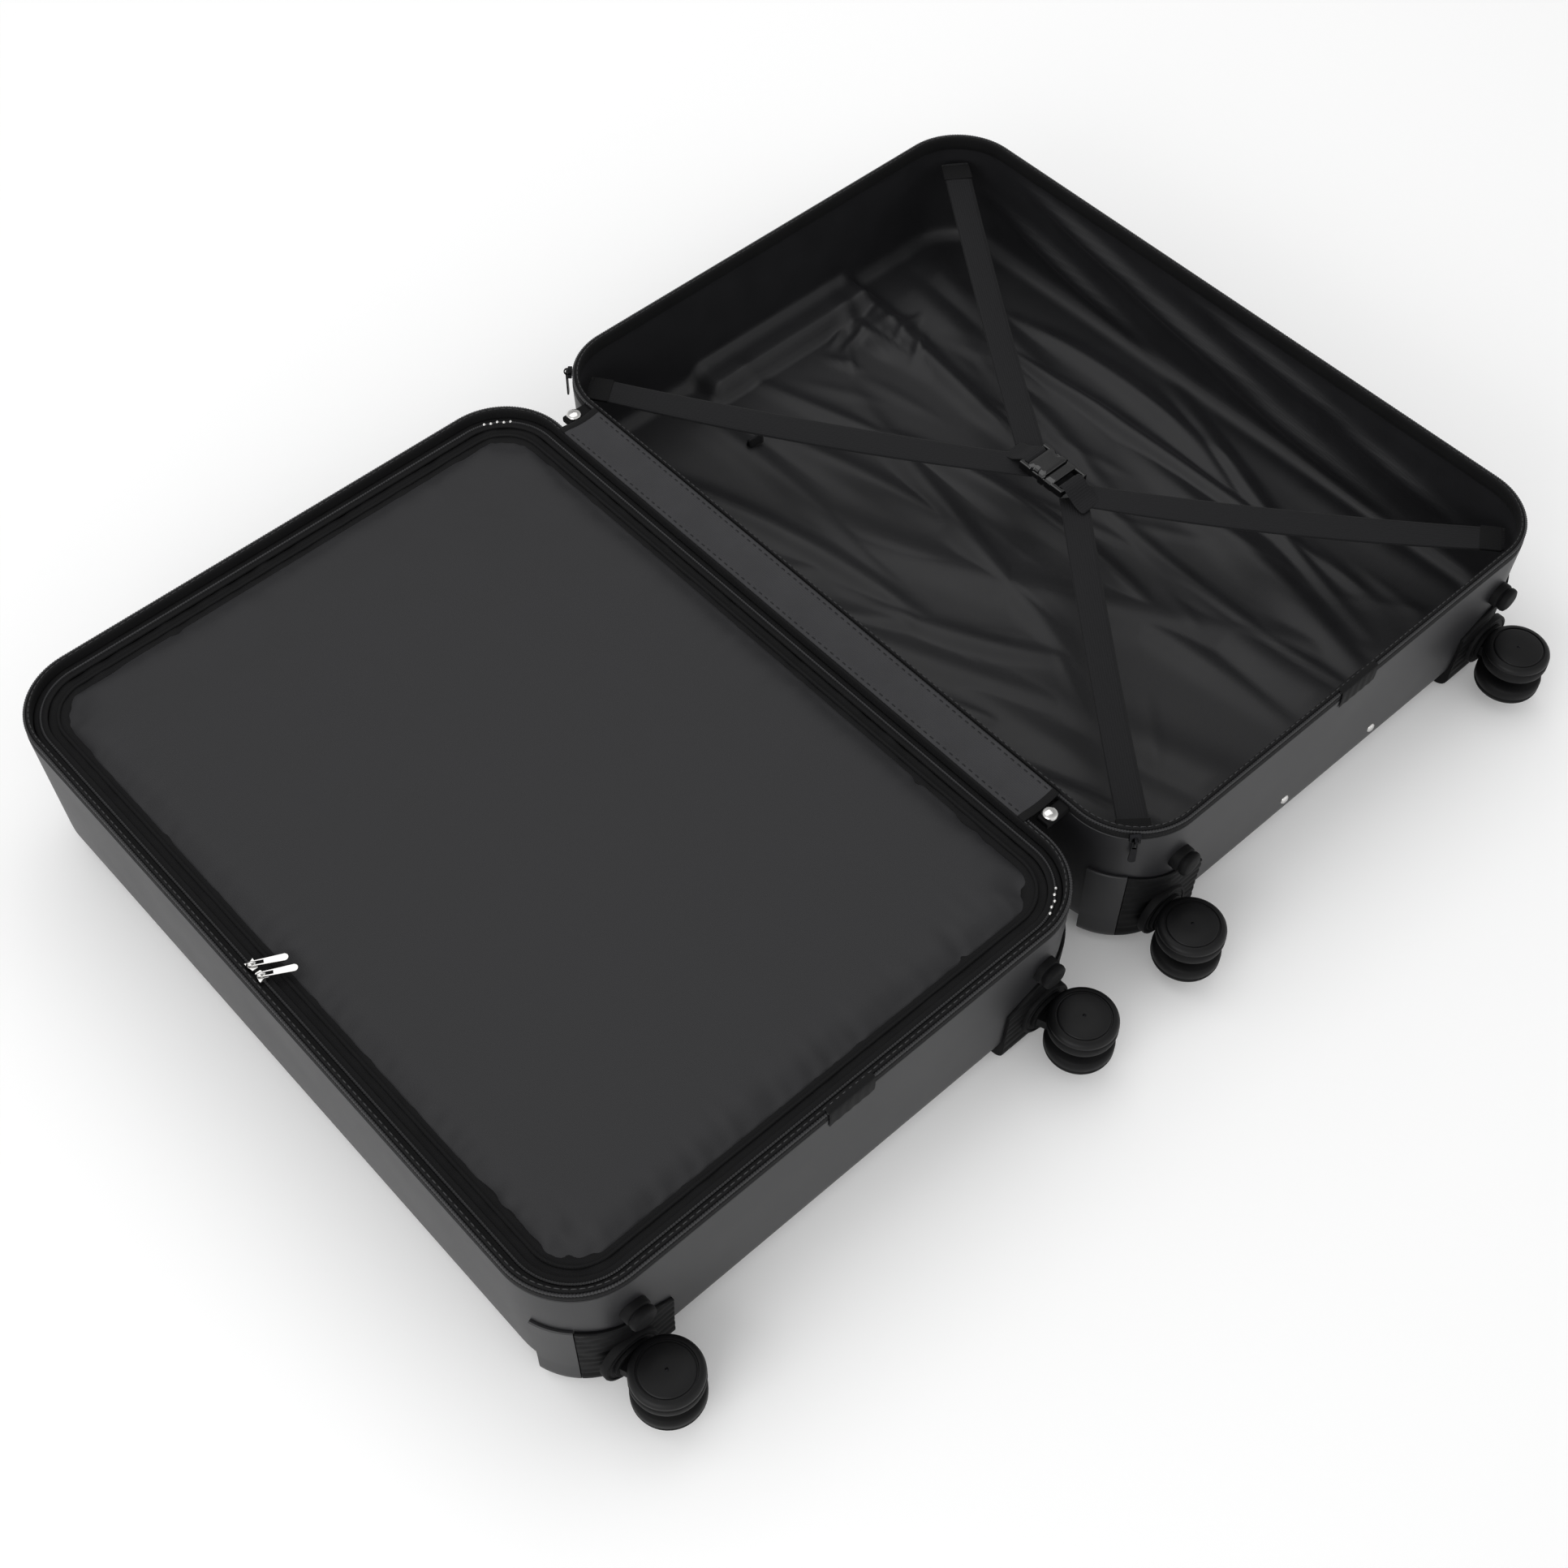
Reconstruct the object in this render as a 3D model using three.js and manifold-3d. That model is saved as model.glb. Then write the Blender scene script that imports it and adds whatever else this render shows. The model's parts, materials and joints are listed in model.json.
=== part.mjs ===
// Hard shell suitcase on four twin-wheel casters, lying open flat: back half on the right with the
// telescopic handle, carry handles, lock and straps, front half on the left with a zipped divider.
// Millimetres, +Z up. X runs across both halves, Y from the wheel end to the handle end.
// Built with the hinge line at x = 0, the wheel-end rim at y = 0 and the floor at z = 0, and moved
// at the end so that the origin is the bottom centre of the whole object.
import * as THREE from 'three';
import { mergeVertices } from 'three/addons/utils/BufferGeometryUtils.js';
import Module from 'manifold-3d';

const wasm = await Module();
wasm.setup();

// ---- driving dimensions ----
const gap = 0.3; // between pieces that touch
const shell = { width: 514, height: 700, depth: 145, wall: 2.6, corner: 62, fillet: 32, draft: 4 };
const hinge = { opening: 31.7, lift: 10, webLength: 543, webThick: 1.2, webBelow: 0.3 };
const lining = { thick: 1.5, offset: 3.1, belowRim: 4, backFloor: 35.3, backFillet: 14, frontFloor: 3.2 };
const rimTape = { outer: 0.2, width: 6 };
const dividerTape = { inset: 6.8, width: 10.5, low: 143.5, high: 145.8 };
const panel = { inset: 25, low: 137.5, high: 147.5, edge: 3.5 };
const tube = { spacing: 110, z: 23, outerX: 22, outerZ: 15, innerX: 18, innerZ: 11, wall: 1.4 };
const cup = { halfX: 74, low: 11.2, high: 34.8, wall: 1.8, bottom: 655.3, proud: 0.8 };
const grip = { halfX: 67, thick: 18, low: 672, high: 690 };
const button = { halfX: 15, halfZ: 4.5, low: 684.5, high: 691.6, travel: 3.2 };
const handle = { z: 90, halfX: 104, halfZ: 15, block: 40, plate: 4, rise: 12, bar: 7.7, leg: 8 };
const lock = { y: 482, z: 121, halfY: 33, halfZ: 12.5, thick: 9, dialRadius: 5, dialWidth: 5, pitch: 9 };
const buckle = { shift: 15, z: 113, halfX: 16.5, halfZ: 6, split: 337, socket: 29, plug: 21, prong: 20 };
const strap = { width: 25, thick: 1.4, cornerX: 30, cornerY: 24, anchorZ: 127, lowZ: 99.6, highZ: 102.8 };
const slider = { length: 9.5, width: 7.5, height: 3.8 };
const pull = { length: 26, width: 6, thick: 1.4, slot: 7 };
const caster = { offset: 206, z: 37, trail: 6, axleY: -33, collar: 17, plate: 24, plateFace: -2 };
const knob = { radius: 11, shift: 8, z: 102, face: -12 };
const housing = { grow: 3, low: 1.6, high: 98, fillet: 12, reachX: 92, reachY: 44 };
const wheel = { radius: 27.5, width: 18, fork: 10, clearance: 0.5, axle: 3, segments: 24 };
const cornerSteps = 6;
const filletSteps = 5;

const rim = shell.depth;
const hingeZ = rim + hinge.lift;
const halfCentre = hinge.opening / 2 + shell.width / 2;
const buckleX = halfCentre + buckle.shift;
const BACK = 1; // the half with the telescopic handle, on +X
const FRONT = -1;

// ---- colours ----
function paint(color, roughness, metalness = 0) {
  return new THREE.MeshStandardMaterial({ color, roughness, metalness });
}

const look = {
  shell: paint(0x222224, 0.42),
  plastic: paint(0x151516, 0.5),
  gloss: paint(0x0c0c0d, 0.18),
  lining: paint(0x161617, 0.6),
  tape: paint(0x121213, 0.85),
  web: paint(0x2b2b2d, 0.8),
  panel: paint(0x26262a, 0.8),
  strap: paint(0x18181a, 0.75),
  silver: paint(0xb9babd, 0.25, 1),
  darkMetal: paint(0x3a3b3e, 0.35, 1),
  tubeMetal: paint(0x8f9195, 0.35, 1),
  wheel: paint(0x17181a, 0.45),
};

const model = new THREE.Group();

function piece(name, geometry, material, parent = model) {
  const mesh = new THREE.Mesh(geometry, material);
  mesh.name = name;
  parent.add(mesh);
  return mesh;
}

// ---- solids: joining, cutting and lofting ----
function solid(geometry) {
  const bare = geometry.clone();
  for (const attribute of Object.keys(bare.attributes)) {
    if (attribute !== 'position') bare.deleteAttribute(attribute);
  }
  const welded = mergeVertices(bare, 1e-4);
  return new wasm.Manifold(new wasm.Mesh({
    numProp: 3,
    vertProperties: new Float32Array(welded.attributes.position.array),
    triVerts: new Uint32Array(welded.index.array),
  }));
}

function geometryOf(manifold) {
  const mesh = manifold.getMesh();
  const geometry = new THREE.BufferGeometry();
  const points = [];
  for (let i = 0; i < mesh.vertProperties.length; i += mesh.numProp) {
    points.push(...mesh.vertProperties.slice(i, i + 3));
  }
  geometry.setAttribute('position', new THREE.Float32BufferAttribute(points, 3));
  geometry.setIndex([...mesh.triVerts]);
  geometry.computeVertexNormals();
  return geometry;
}

function join(...parts) {
  return geometryOf(parts.map(solid).reduce((all, next) => all.add(next)));
}

function cut(body, ...tools) {
  return geometryOf(tools.map(solid).reduce((rest, tool) => rest.subtract(tool), solid(body)));
}

function common(first, second) {
  return geometryOf(solid(first).intersect(solid(second)));
}

// A box given by its lowest and highest corners.
function block(low, high) {
  const size = high.map((value, i) => value - low[i]);
  const box = new THREE.BoxGeometry(...size);
  return box.translate(...low.map((value, i) => value + size[i] / 2));
}

// A cylinder between two points that differ along one axis ('y' or 'z').
function rod(radius, centre, from, to, axis, segments = 20) {
  const cylinder = new THREE.CylinderGeometry(radius, radius, to - from, segments);
  if (axis === 'z') cylinder.rotateX(Math.PI / 2).translate(centre[0], centre[1], (from + to) / 2);
  else cylinder.translate(centre[0], (from + to) / 2, centre[1]);
  return cylinder;
}

// Points round a rounded rectangle, anticlockwise from above.
function roundedRing(centreX, centreY, width, height, radius, z) {
  const ring = [];
  for (let corner = 0; corner < 4; corner += 1) {
    const sideX = corner === 0 || corner === 3 ? 1 : -1;
    const sideY = corner < 2 ? 1 : -1;
    for (let step = 0; step <= cornerSteps; step += 1) {
      const angle = (corner + step / cornerSteps) * (Math.PI / 2);
      ring.push(new THREE.Vector3(
        centreX + sideX * (width / 2 - radius) + radius * Math.cos(angle),
        centreY + sideY * (height / 2 - radius) + radius * Math.sin(angle),
        z,
      ));
    }
  }
  return ring;
}

// Skin over a row of rings: closed on itself, or capped with a flat fan at each end.
function loft(rings, closed = false) {
  const count = rings[0].length;
  const points = rings.flat();
  const index = [];
  const rows = closed ? rings.length : rings.length - 1;
  for (let row = 0; row < rows; row += 1) {
    const here = row * count;
    const next = ((row + 1) % rings.length) * count;
    for (let i = 0; i < count; i += 1) {
      const j = (i + 1) % count;
      index.push(here + i, here + j, next + j, here + i, next + j, next + i);
    }
  }
  if (!closed) {
    const ends = [[rings[0], 0, true], [rings.at(-1), (rings.length - 1) * count, false]];
    for (const [ring, start, flip] of ends) {
      const centre = ring.reduce((sum, p) => sum.add(p), new THREE.Vector3()).divideScalar(count);
      const hub = points.push(centre) - 1;
      for (let i = 0; i < count; i += 1) {
        const j = (i + 1) % count;
        index.push(hub, start + (flip ? j : i), start + (flip ? i : j));
      }
    }
  }
  const geometry = new THREE.BufferGeometry().setFromPoints(points);
  geometry.setIndex(index);
  geometry.computeVertexNormals();
  return geometry;
}

// ---- the shape of a half shell ----
// How far the outer face of the shell stands inside its rim outline at height z.
function insetAt(z) {
  const below = Math.max(shell.fillet - z, 0) / shell.fillet;
  return wallTaper(z) + shell.fillet * (1 - Math.sqrt(1 - below * below));
}

// The same for the straight wall alone, without the rounding at the bottom.
function wallTaper(z) {
  return shell.draft * (rim - Math.max(z, shell.fillet)) / (rim - shell.fillet);
}

// The ring of one half at a given inset from its rim outline.
function halfRing(side, inset, z) {
  const radius = Math.max(shell.corner - inset, 4);
  return roundedRing(
    side * halfCentre, shell.height / 2, shell.width - 2 * inset, shell.height - 2 * inset, radius, z,
  );
}

// A quarter-round profile from a flat floor up to a wall, as [inset, z] pairs.
function filletProfile(inset, floor, radius) {
  return Array.from({ length: filletSteps + 1 }, (_, i) => {
    const angle = (i / filletSteps) * (Math.PI / 2);
    return [inset + radius * (1 - Math.sin(angle)), floor + radius * (1 - Math.cos(angle))];
  });
}

// An open tray that follows the half shell, a fixed distance inside its outer face.
function tray(side, { offset, floor, fillet, top, thick }) {
  const wallInset = insetAt(floor + fillet) + offset;
  const outside = filletProfile(wallInset, floor, fillet);
  const inside = filletProfile(wallInset + thick, floor + thick, fillet - thick).reverse();
  const profile = [
    ...outside,
    [insetAt(top) + offset, top],
    [insetAt(top) + offset + thick, top],
    ...inside,
  ];
  return loft(profile.map(([inset, z]) => halfRing(side, inset, z)));
}

// The whole volume inside the outer face of a half, grown outwards.
function halfVolume(side, grow, low = 0, high = rim, fillet = shell.fillet) {
  const profile = filletProfile(wallTaper(low + fillet) - grow, low, fillet);
  return loft([...profile, [insetAt(high) - grow, high]].map(([inset, z]) => halfRing(side, inset, z)));
}

// A flat band round the rim between two insets.
function band(side, inset, width, low, high) {
  const profile = [[inset, low], [inset, high], [inset + width, high], [inset + width, low]];
  return loft(profile.map(([at, z]) => halfRing(side, at, z)), true);
}

// ---- shells, linings and tapes ----
function addShells() {
  const whole = { offset: 0, floor: 0, fillet: shell.fillet, top: rim, thick: shell.wall };
  const cupHole = block(
    [halfCentre - cup.halfX - gap, cup.bottom - 2, cup.low - gap],
    [halfCentre + cup.halfX + gap, shell.height + 5, cup.high + gap],
  );
  piece('back_shell', cut(tray(BACK, whole), cupHole), look.shell);
  piece('front_shell', tray(FRONT, whole), look.shell);
}

function addLinings() {
  const top = rim - lining.belowRim;
  const shared = { offset: lining.offset, top, thick: lining.thick };
  const back = { ...shared, floor: lining.backFloor, fillet: lining.backFillet };
  const front = { ...shared, floor: lining.frontFloor, fillet: shell.fillet - lining.offset };
  piece('back_lining', tray(BACK, back), look.lining);
  piece('front_lining', tray(FRONT, front), look.lining);
}

function addTapes() {
  for (const [side, name] of [[BACK, 'back_zipper_tape'], [FRONT, 'front_zipper_tape']]) {
    piece(name, band(side, rimTape.outer, rimTape.width, rim + gap, hingeZ - gap), look.tape);
  }
  piece(
    'divider_zipper_tape',
    band(FRONT, dividerTape.inset, dividerTape.width, dividerTape.low, dividerTape.high),
    look.tape,
  );
  const halfWeb = hinge.opening / 2 - 0.55;
  const webStart = (shell.height - hinge.webLength) / 2 + 6;
  const top = hingeZ - hinge.webBelow;
  piece(
    'hinge_web',
    block([-halfWeb, webStart, top - hinge.webThick], [halfWeb, webStart + hinge.webLength, top]),
    look.web,
  );
}

function addDivider() {
  const { inset, low, high, edge } = panel;
  const profile = [
    [inset + edge, low], [inset, low + edge], [inset, high - edge], [inset + edge, high],
  ];
  piece('divider_panel', loft(profile.map(([at, z]) => halfRing(FRONT, at, z))), look.panel);
}

// ---- zipper sliders and their pull tabs ----
// A slider lies on its zip with its pull tab turned by an angle about the vertical.
function sliderBody() {
  const { length, width, height } = slider;
  const outline = new THREE.Shape([
    new THREE.Vector2(-length / 2, -width * 0.32),
    new THREE.Vector2(length * 0.15, -width / 2),
    new THREE.Vector2(length / 2, -width / 2),
    new THREE.Vector2(length * 0.32, 0),
    new THREE.Vector2(length / 2, width / 2),
    new THREE.Vector2(length * 0.15, width / 2),
    new THREE.Vector2(-length / 2, width * 0.32),
  ]);
  return new THREE.ExtrudeGeometry(outline, { depth: height, bevelEnabled: false });
}

// A slotted tab that starts at its pivot and runs along +X.
function pullTab() {
  const { length, width, thick, slot } = pull;
  const radius = width / 2 - 0.6;
  const outline = new THREE.Shape();
  outline.moveTo(0, -width / 2 + 0.8);
  outline.lineTo(length - radius, -width / 2);
  outline.absarc(length - radius, 0, width / 2, -Math.PI / 2, Math.PI / 2);
  outline.lineTo(0, width / 2 - 0.8);
  const hole = new THREE.Path([
    new THREE.Vector2(2, -width / 4),
    new THREE.Vector2(2, width / 4),
    new THREE.Vector2(2 + slot, width / 4),
    new THREE.Vector2(2 + slot, -width / 4),
  ]);
  outline.holes.push(hole);
  return new THREE.ExtrudeGeometry(outline, { depth: thick, bevelEnabled: false, curveSegments: 6 });
}

function addDividerSliders() {
  const x = -halfCentre - shell.width / 2 + dividerTape.inset + dividerTape.width / 2;
  const base = dividerTape.high + 0.4;
  for (const [number, y, travel] of [[1, 365.5, 1], [2, 353.5, -1]]) {
    const group = new THREE.Group();
    group.position.set(x, y, base);
    const body = piece(`divider_slider_${number}`, sliderBody(), look.silver, group);
    body.rotation.z = travel * Math.PI / 2;
    const tab = piece(`divider_pull_${number}`, pullTab(), look.silver, group);
    tab.position.z = slider.height + gap;
    tab.rotation.z = THREE.MathUtils.degToRad(-28);
    model.add(group);
  }
}

// The main sliders are parked at the two ends of the zip, on the hinge-side corners of the back half.
function addMainSliders() {
  const cornerX = hinge.opening / 2 + shell.corner;
  const onEdge = new THREE.Matrix4().makeBasis(
    new THREE.Vector3(0, 1, 0), new THREE.Vector3(0, 0, 1), new THREE.Vector3(1, 0, 0),
  );
  for (const [number, cornerY, angle] of [[1, shell.height - shell.corner, 135], [2, shell.corner, 225]]) {
    const group = new THREE.Group();
    group.position.set(cornerX, cornerY, 0);
    group.rotation.z = THREE.MathUtils.degToRad(angle);
    const body = piece(`main_slider_${number}`, sliderBody(), look.darkMetal, group);
    body.setRotationFromMatrix(onEdge);
    body.position.set(shell.corner + gap, 0, rim + 4.6);
    const tab = piece(`main_pull_${number}`, pullTab(), look.darkMetal, group);
    tab.rotation.y = Math.PI / 2;
    tab.position.set(shell.corner + slider.height + 2 * gap, 0, rim + 4.6);
    model.add(group);
  }
}

// ---- telescopic handle ----
function boxTube(width, height, wall, from, to) {
  const outline = rectangle(width, height);
  outline.holes.push(rectangle(width - 2 * wall, height - 2 * wall));
  const body = new THREE.ExtrudeGeometry(outline, { depth: to - from, bevelEnabled: false });
  return body.rotateX(-Math.PI / 2).translate(0, from, 0);
}

function rectangle(width, height) {
  const chamfer = 1.5;
  const x = width / 2;
  const y = height / 2;
  return new THREE.Shape([
    [x - chamfer, -y], [x, -y + chamfer], [x, y - chamfer], [x - chamfer, y],
    [-x + chamfer, y], [-x, y - chamfer], [-x, -y + chamfer], [-x + chamfer, -y],
  ].map(([u, v]) => new THREE.Vector2(u, v)));
}

function addTrolley() {
  const tubeStart = insetAt(tube.z - tube.outerZ / 2) + shell.wall + 1.4;
  for (const [number, side] of [[1, -1], [2, 1]]) {
    const x = halfCentre + side * tube.spacing / 2;
    const fixed = boxTube(tube.outerX, tube.outerZ, tube.wall, tubeStart, cup.bottom - gap);
    piece(`trolley_outer_tube_${number}`, fixed, look.tubeMetal).position.set(x, 0, tube.z);
    const moving = boxTube(tube.innerX, tube.innerZ, tube.wall, tubeStart + 12, grip.low - gap);
    piece(`trolley_inner_tube_${number}`, moving, look.tubeMetal).position.set(x, 0, tube.z);
  }

  const halfZ = grip.thick / 2;
  const bar = roundedBar(2 * grip.halfX, grip.low, grip.high, halfZ);
  const pocket = block(
    [-button.halfX - 0.4, button.low - button.travel - 0.5, -button.halfZ - 0.4],
    [button.halfX + 0.4, grip.high + 4, button.halfZ + 0.4],
  );
  piece('trolley_grip', cut(bar, pocket), look.plastic).position.set(halfCentre, 0, tube.z);
  const key = block([-button.halfX, button.low, -button.halfZ], [button.halfX, button.high, button.halfZ]);
  piece('trolley_button', key, look.gloss).position.set(halfCentre, 0, tube.z);

  const outer = block(
    [halfCentre - cup.halfX, cup.bottom, cup.low],
    [halfCentre + cup.halfX, shell.height + 5, cup.high],
  );
  const inner = block(
    [halfCentre - cup.halfX + cup.wall, cup.bottom + cup.wall, cup.low + cup.wall],
    [halfCentre + cup.halfX - cup.wall, shell.height + 9, cup.high - cup.wall],
  );
  const holeX = tube.innerX / 2 + 0.4;
  const holeZ = tube.innerZ / 2 + 0.4;
  const holes = [-1, 1].map((side) => block(
    [halfCentre + side * tube.spacing / 2 - holeX, cup.bottom - 5, tube.z - holeZ],
    [halfCentre + side * tube.spacing / 2 + holeX, cup.bottom + 5, tube.z + holeZ],
  ));
  const trimmed = common(cut(outer, inner, ...holes), halfVolume(BACK, cup.proud));
  piece('trolley_cup', trimmed, look.plastic);
}

// A bar along X with rounded long edges, between two heights along Y.
function roundedBar(width, low, high, halfZ) {
  const bevel = Math.min(4, (high - low) * 0.35);
  const outline = new THREE.Shape([
    [-halfZ, low + bevel], [-halfZ + bevel, low], [halfZ - bevel, low], [halfZ, low + bevel],
    [halfZ, high - bevel], [halfZ - bevel, high], [-halfZ + bevel, high], [-halfZ, high - bevel],
  ].map(([z, y]) => new THREE.Vector2(z, y)));
  const bar = new THREE.ExtrudeGeometry(outline, { depth: width, bevelEnabled: false });
  return bar.rotateY(Math.PI / 2).translate(-width / 2, 0, 0);
}

// ---- carry handles ----
// Built on a wall whose outward normal is +Y, with the wall face at y = 0.
function addCarryHandle(name, place) {
  const { halfX, halfZ, block: blockLength, plate, rise, bar, leg } = handle;
  const group = new THREE.Group();
  place(group);
  const legX = halfX - blockLength / 2 - 4;
  const plateBox = block([-halfX, 0, -halfZ], [halfX, plate, halfZ]);
  const ends = [-1, 1].map((side) => block(
    [side > 0 ? halfX - blockLength : -halfX, plate - 1, -halfZ + 1.5],
    [side > 0 ? halfX : blockLength - halfX, rise, halfZ - 1.5],
  ));
  const pockets = [-1, 1].map((side) => block(
    [side * legX - leg / 2 - 0.5, -2, -halfZ + 6.5], [side * legX + leg / 2 + 0.5, rise + 3, halfZ - 6.5],
  ));
  piece(`${name}_mount`, cut(join(plateBox, ...ends), ...pockets), look.plastic, group);
  const top = roundedBar(2 * legX + leg + 8, rise + gap, rise + gap + bar, halfZ - 3);
  const legs = [-1, 1].map((side) => block(
    [side * legX - leg / 2, 0.6, -halfZ + 7], [side * legX + leg / 2, rise + 2, halfZ - 7],
  ));
  piece(name, join(top, ...legs), look.plastic, group);
  model.add(group);
}

function addCarryHandles() {
  const wallFace = gap + 0.4 - insetAt(handle.z + handle.halfZ);
  addCarryHandle('top_handle', (group) => {
    group.position.set(halfCentre, shell.height + wallFace, handle.z);
  });
  addCarryHandle('side_handle', (group) => {
    group.position.set(halfCentre + shell.width / 2 + wallFace, shell.height / 2, handle.z);
    group.rotation.z = -Math.PI / 2;
  });
}

// ---- combination lock on the far side wall of the back half ----
function addLock() {
  const { y, z, halfY, halfZ, thick, dialRadius, dialWidth, pitch } = lock;
  const face = halfCentre + shell.width / 2 - insetAt(z + halfZ) + 0.5;
  const dials = [0, 1, 2].map((i) => y - 2 + i * pitch);
  const windows = dials.map((at) => block(
    [face - 2, at - dialWidth / 2 - 0.4, z - dialRadius - 0.6],
    [face + thick + 3, at + dialWidth / 2 + 0.4, z + dialRadius + 0.6],
  ));
  const keyHole = block([face - 2, y - 25.4, z - 6.4], [face + thick + 3, y - 10.6, z + 6.4]);
  const body = block([face, y - halfY, z - halfZ], [face + thick, y + halfY, z + halfZ]);
  piece('lock_body', cut(body, ...windows, keyHole), look.plastic);
  dials.forEach((at, i) => {
    const dial = rod(dialRadius, [0, 0], -dialWidth / 2, dialWidth / 2, 'y', 16);
    piece(`lock_dial_${i + 1}`, dial, look.darkMetal).position.set(face + thick - dialRadius + 1.2, at, z);
  });
  const key = block([face + 3, y - 25, z - 6], [face + thick + 1.6, y - 11, z + 6]);
  piece('lock_button', key, look.gloss);
}

// ---- packing straps and their buckle ----
function addStraps() {
  const ends = [
    ['strap_handle_end_inner', -1, 1, strap.highZ],
    ['strap_handle_end_outer', 1, 1, strap.lowZ],
    ['strap_wheel_end_inner', -1, -1, strap.lowZ],
    ['strap_wheel_end_outer', 1, -1, strap.highZ],
  ];
  for (const [name, sideX, sideY, z] of ends) {
    const from = new THREE.Vector3(buckleX, buckle.split + sideY * 17, z);
    const to = new THREE.Vector3(
      halfCentre + sideX * (shell.width / 2 - strap.cornerX),
      shell.height / 2 + sideY * (shell.height / 2 - strap.cornerY),
      strap.anchorZ,
    );
    const along = to.clone().sub(from);
    const body = new THREE.BoxGeometry(along.length(), strap.width, strap.thick);
    const mesh = piece(name, body, look.strap);
    const across = new THREE.Vector3(0, 0, 1).cross(along).normalize();
    const up = along.clone().normalize().cross(across);
    mesh.quaternion.setFromRotationMatrix(new THREE.Matrix4().makeBasis(along.clone().normalize(), across, up));
    mesh.position.copy(from.add(to).multiplyScalar(0.5));
  }
}

function addBuckle() {
  const { z, halfX, halfZ, split, prong } = buckle;
  const femaleEnd = split + buckle.socket;
  const maleEnd = split - buckle.plug;
  const socket = block([-halfX, split + gap, -halfZ], [halfX, femaleEnd, halfZ]);
  const cavity = block([-halfX + 3, split - 2, -halfZ + 2], [halfX - 3, split + prong + 1.5, halfZ - 2]);
  const femaleSlot = block([-halfX + 4, femaleEnd - 6, -halfZ - 2], [halfX - 4, femaleEnd - 3, halfZ + 2]);
  piece('buckle_socket', cut(socket, cavity, femaleSlot), look.gloss).position.set(buckleX, 0, z);
  const base = block([-halfX, maleEnd, -halfZ + 0.5], [halfX, split, halfZ - 0.5]);
  const maleSlot = block([-halfX + 4, maleEnd + 3, -halfZ - 2], [halfX - 4, maleEnd + 6, halfZ + 2]);
  const prongs = [6.5 - halfX, 0, halfX - 6.5].map((x) => block([x - 2.6, split - 3, -3], [x + 2.6, split + prong, 3]));
  piece('buckle_plug', join(cut(base, maleSlot), ...prongs), look.gloss).position.set(buckleX, 0, z);
}

// ---- casters ----
function wheelBody() {
  const { radius, width, axle, segments } = wheel;
  const bore = axle + 0.4;
  const profile = [
    [0, width], [radius * 0.6, width - 0.5], [radius * 0.84, width - 1.8], [radius * 0.95, width - 3.6],
    [radius, width - 7], [radius, 3], [radius - 2, 0], [bore, 0], [bore, width - 4], [0, width - 4],
  ].reverse().map(([r, h]) => new THREE.Vector2(r, h));
  return new THREE.LatheGeometry(profile, segments).rotateX(Math.PI / 2);
}

function addCaster(number, side, swivelX, cornerX) {
  const trailX = swivelX - side * caster.trail;
  const inwards = Math.sign(swivelX - cornerX);
  const corner = common(
    halfVolume(side, housing.grow, housing.low, housing.high, housing.fillet),
    block(
      [Math.min(cornerX - inwards * 9, cornerX + inwards * housing.reachX), -9, 0],
      [Math.max(cornerX - inwards * 9, cornerX + inwards * housing.reachX), housing.reachY, housing.high],
    ),
  );
  const guard = cut(corner, halfVolume(side, gap, -1.2, rim + 5));
  const collarPlate = rod(caster.plate, [swivelX, caster.z], caster.plateFace, 2, 'y', 28);
  const boss = rod(knob.radius, [swivelX + inwards * knob.shift, knob.z], knob.face, 0.8, 'y', 18);
  piece(`caster_${number}_housing`, join(guard, collarPlate, boss), look.plastic);

  const half = wheel.fork / 2;
  const crownTop = caster.plateFace - gap;
  const crown = rod(caster.collar, [swivelX, caster.z], crownTop - 2.9, crownTop, 'y', 24);
  const arm = new THREE.Shape();
  arm.moveTo(swivelX + 14, crownTop - 2);
  arm.lineTo(swivelX - 14, crownTop - 2);
  arm.lineTo(trailX - 9, caster.axleY);
  arm.absarc(trailX, caster.axleY, 9, Math.PI, 2 * Math.PI);
  const blade = new THREE.ExtrudeGeometry(arm, { depth: wheel.fork, bevelEnabled: false, curveSegments: 6 });
  blade.translate(0, 0, caster.z - half);
  const bore = rod(wheel.axle + 0.1, [trailX, caster.axleY], caster.z - 9, caster.z + 9, 'z', 16);
  piece(`caster_${number}_fork`, cut(join(crown, blade), bore), look.plastic);

  const reach = half + wheel.clearance + wheel.width - 4.5;
  const axle = rod(wheel.axle, [trailX, caster.axleY], caster.z - reach, caster.z + reach, 'z', 16);
  piece(`caster_${number}_axle`, axle, look.darkMetal);
  for (const [name, up] of [['upper', 1], ['lower', -1]]) {
    const mesh = piece(`caster_${number}_wheel_${name}`, wheelBody(), look.wheel);
    mesh.position.set(trailX, caster.axleY, caster.z + up * (half + wheel.clearance));
    if (up < 0) mesh.rotation.x = Math.PI;
  }
}

function addCasters() {
  let number = 1;
  for (const side of [FRONT, BACK]) {
    for (const end of [-1, 1]) {
      const swivelX = side * halfCentre + end * caster.offset;
      const cornerX = side * halfCentre + end * shell.width / 2;
      addCaster(number, side, swivelX, cornerX);
      number += 1;
    }
  }
}

addShells();
addLinings();
addTapes();
addDivider();
addDividerSliders();
addMainSliders();
addTrolley();
addCarryHandles();
addLock();
addStraps();
addBuckle();
addCasters();

model.updateMatrixWorld(true);
const middle = new THREE.Box3().setFromObject(model, true).getCenter(new THREE.Vector3());
model.position.set(-middle.x, -middle.y, 0);
model.updateMatrixWorld(true);

export default model;
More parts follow.
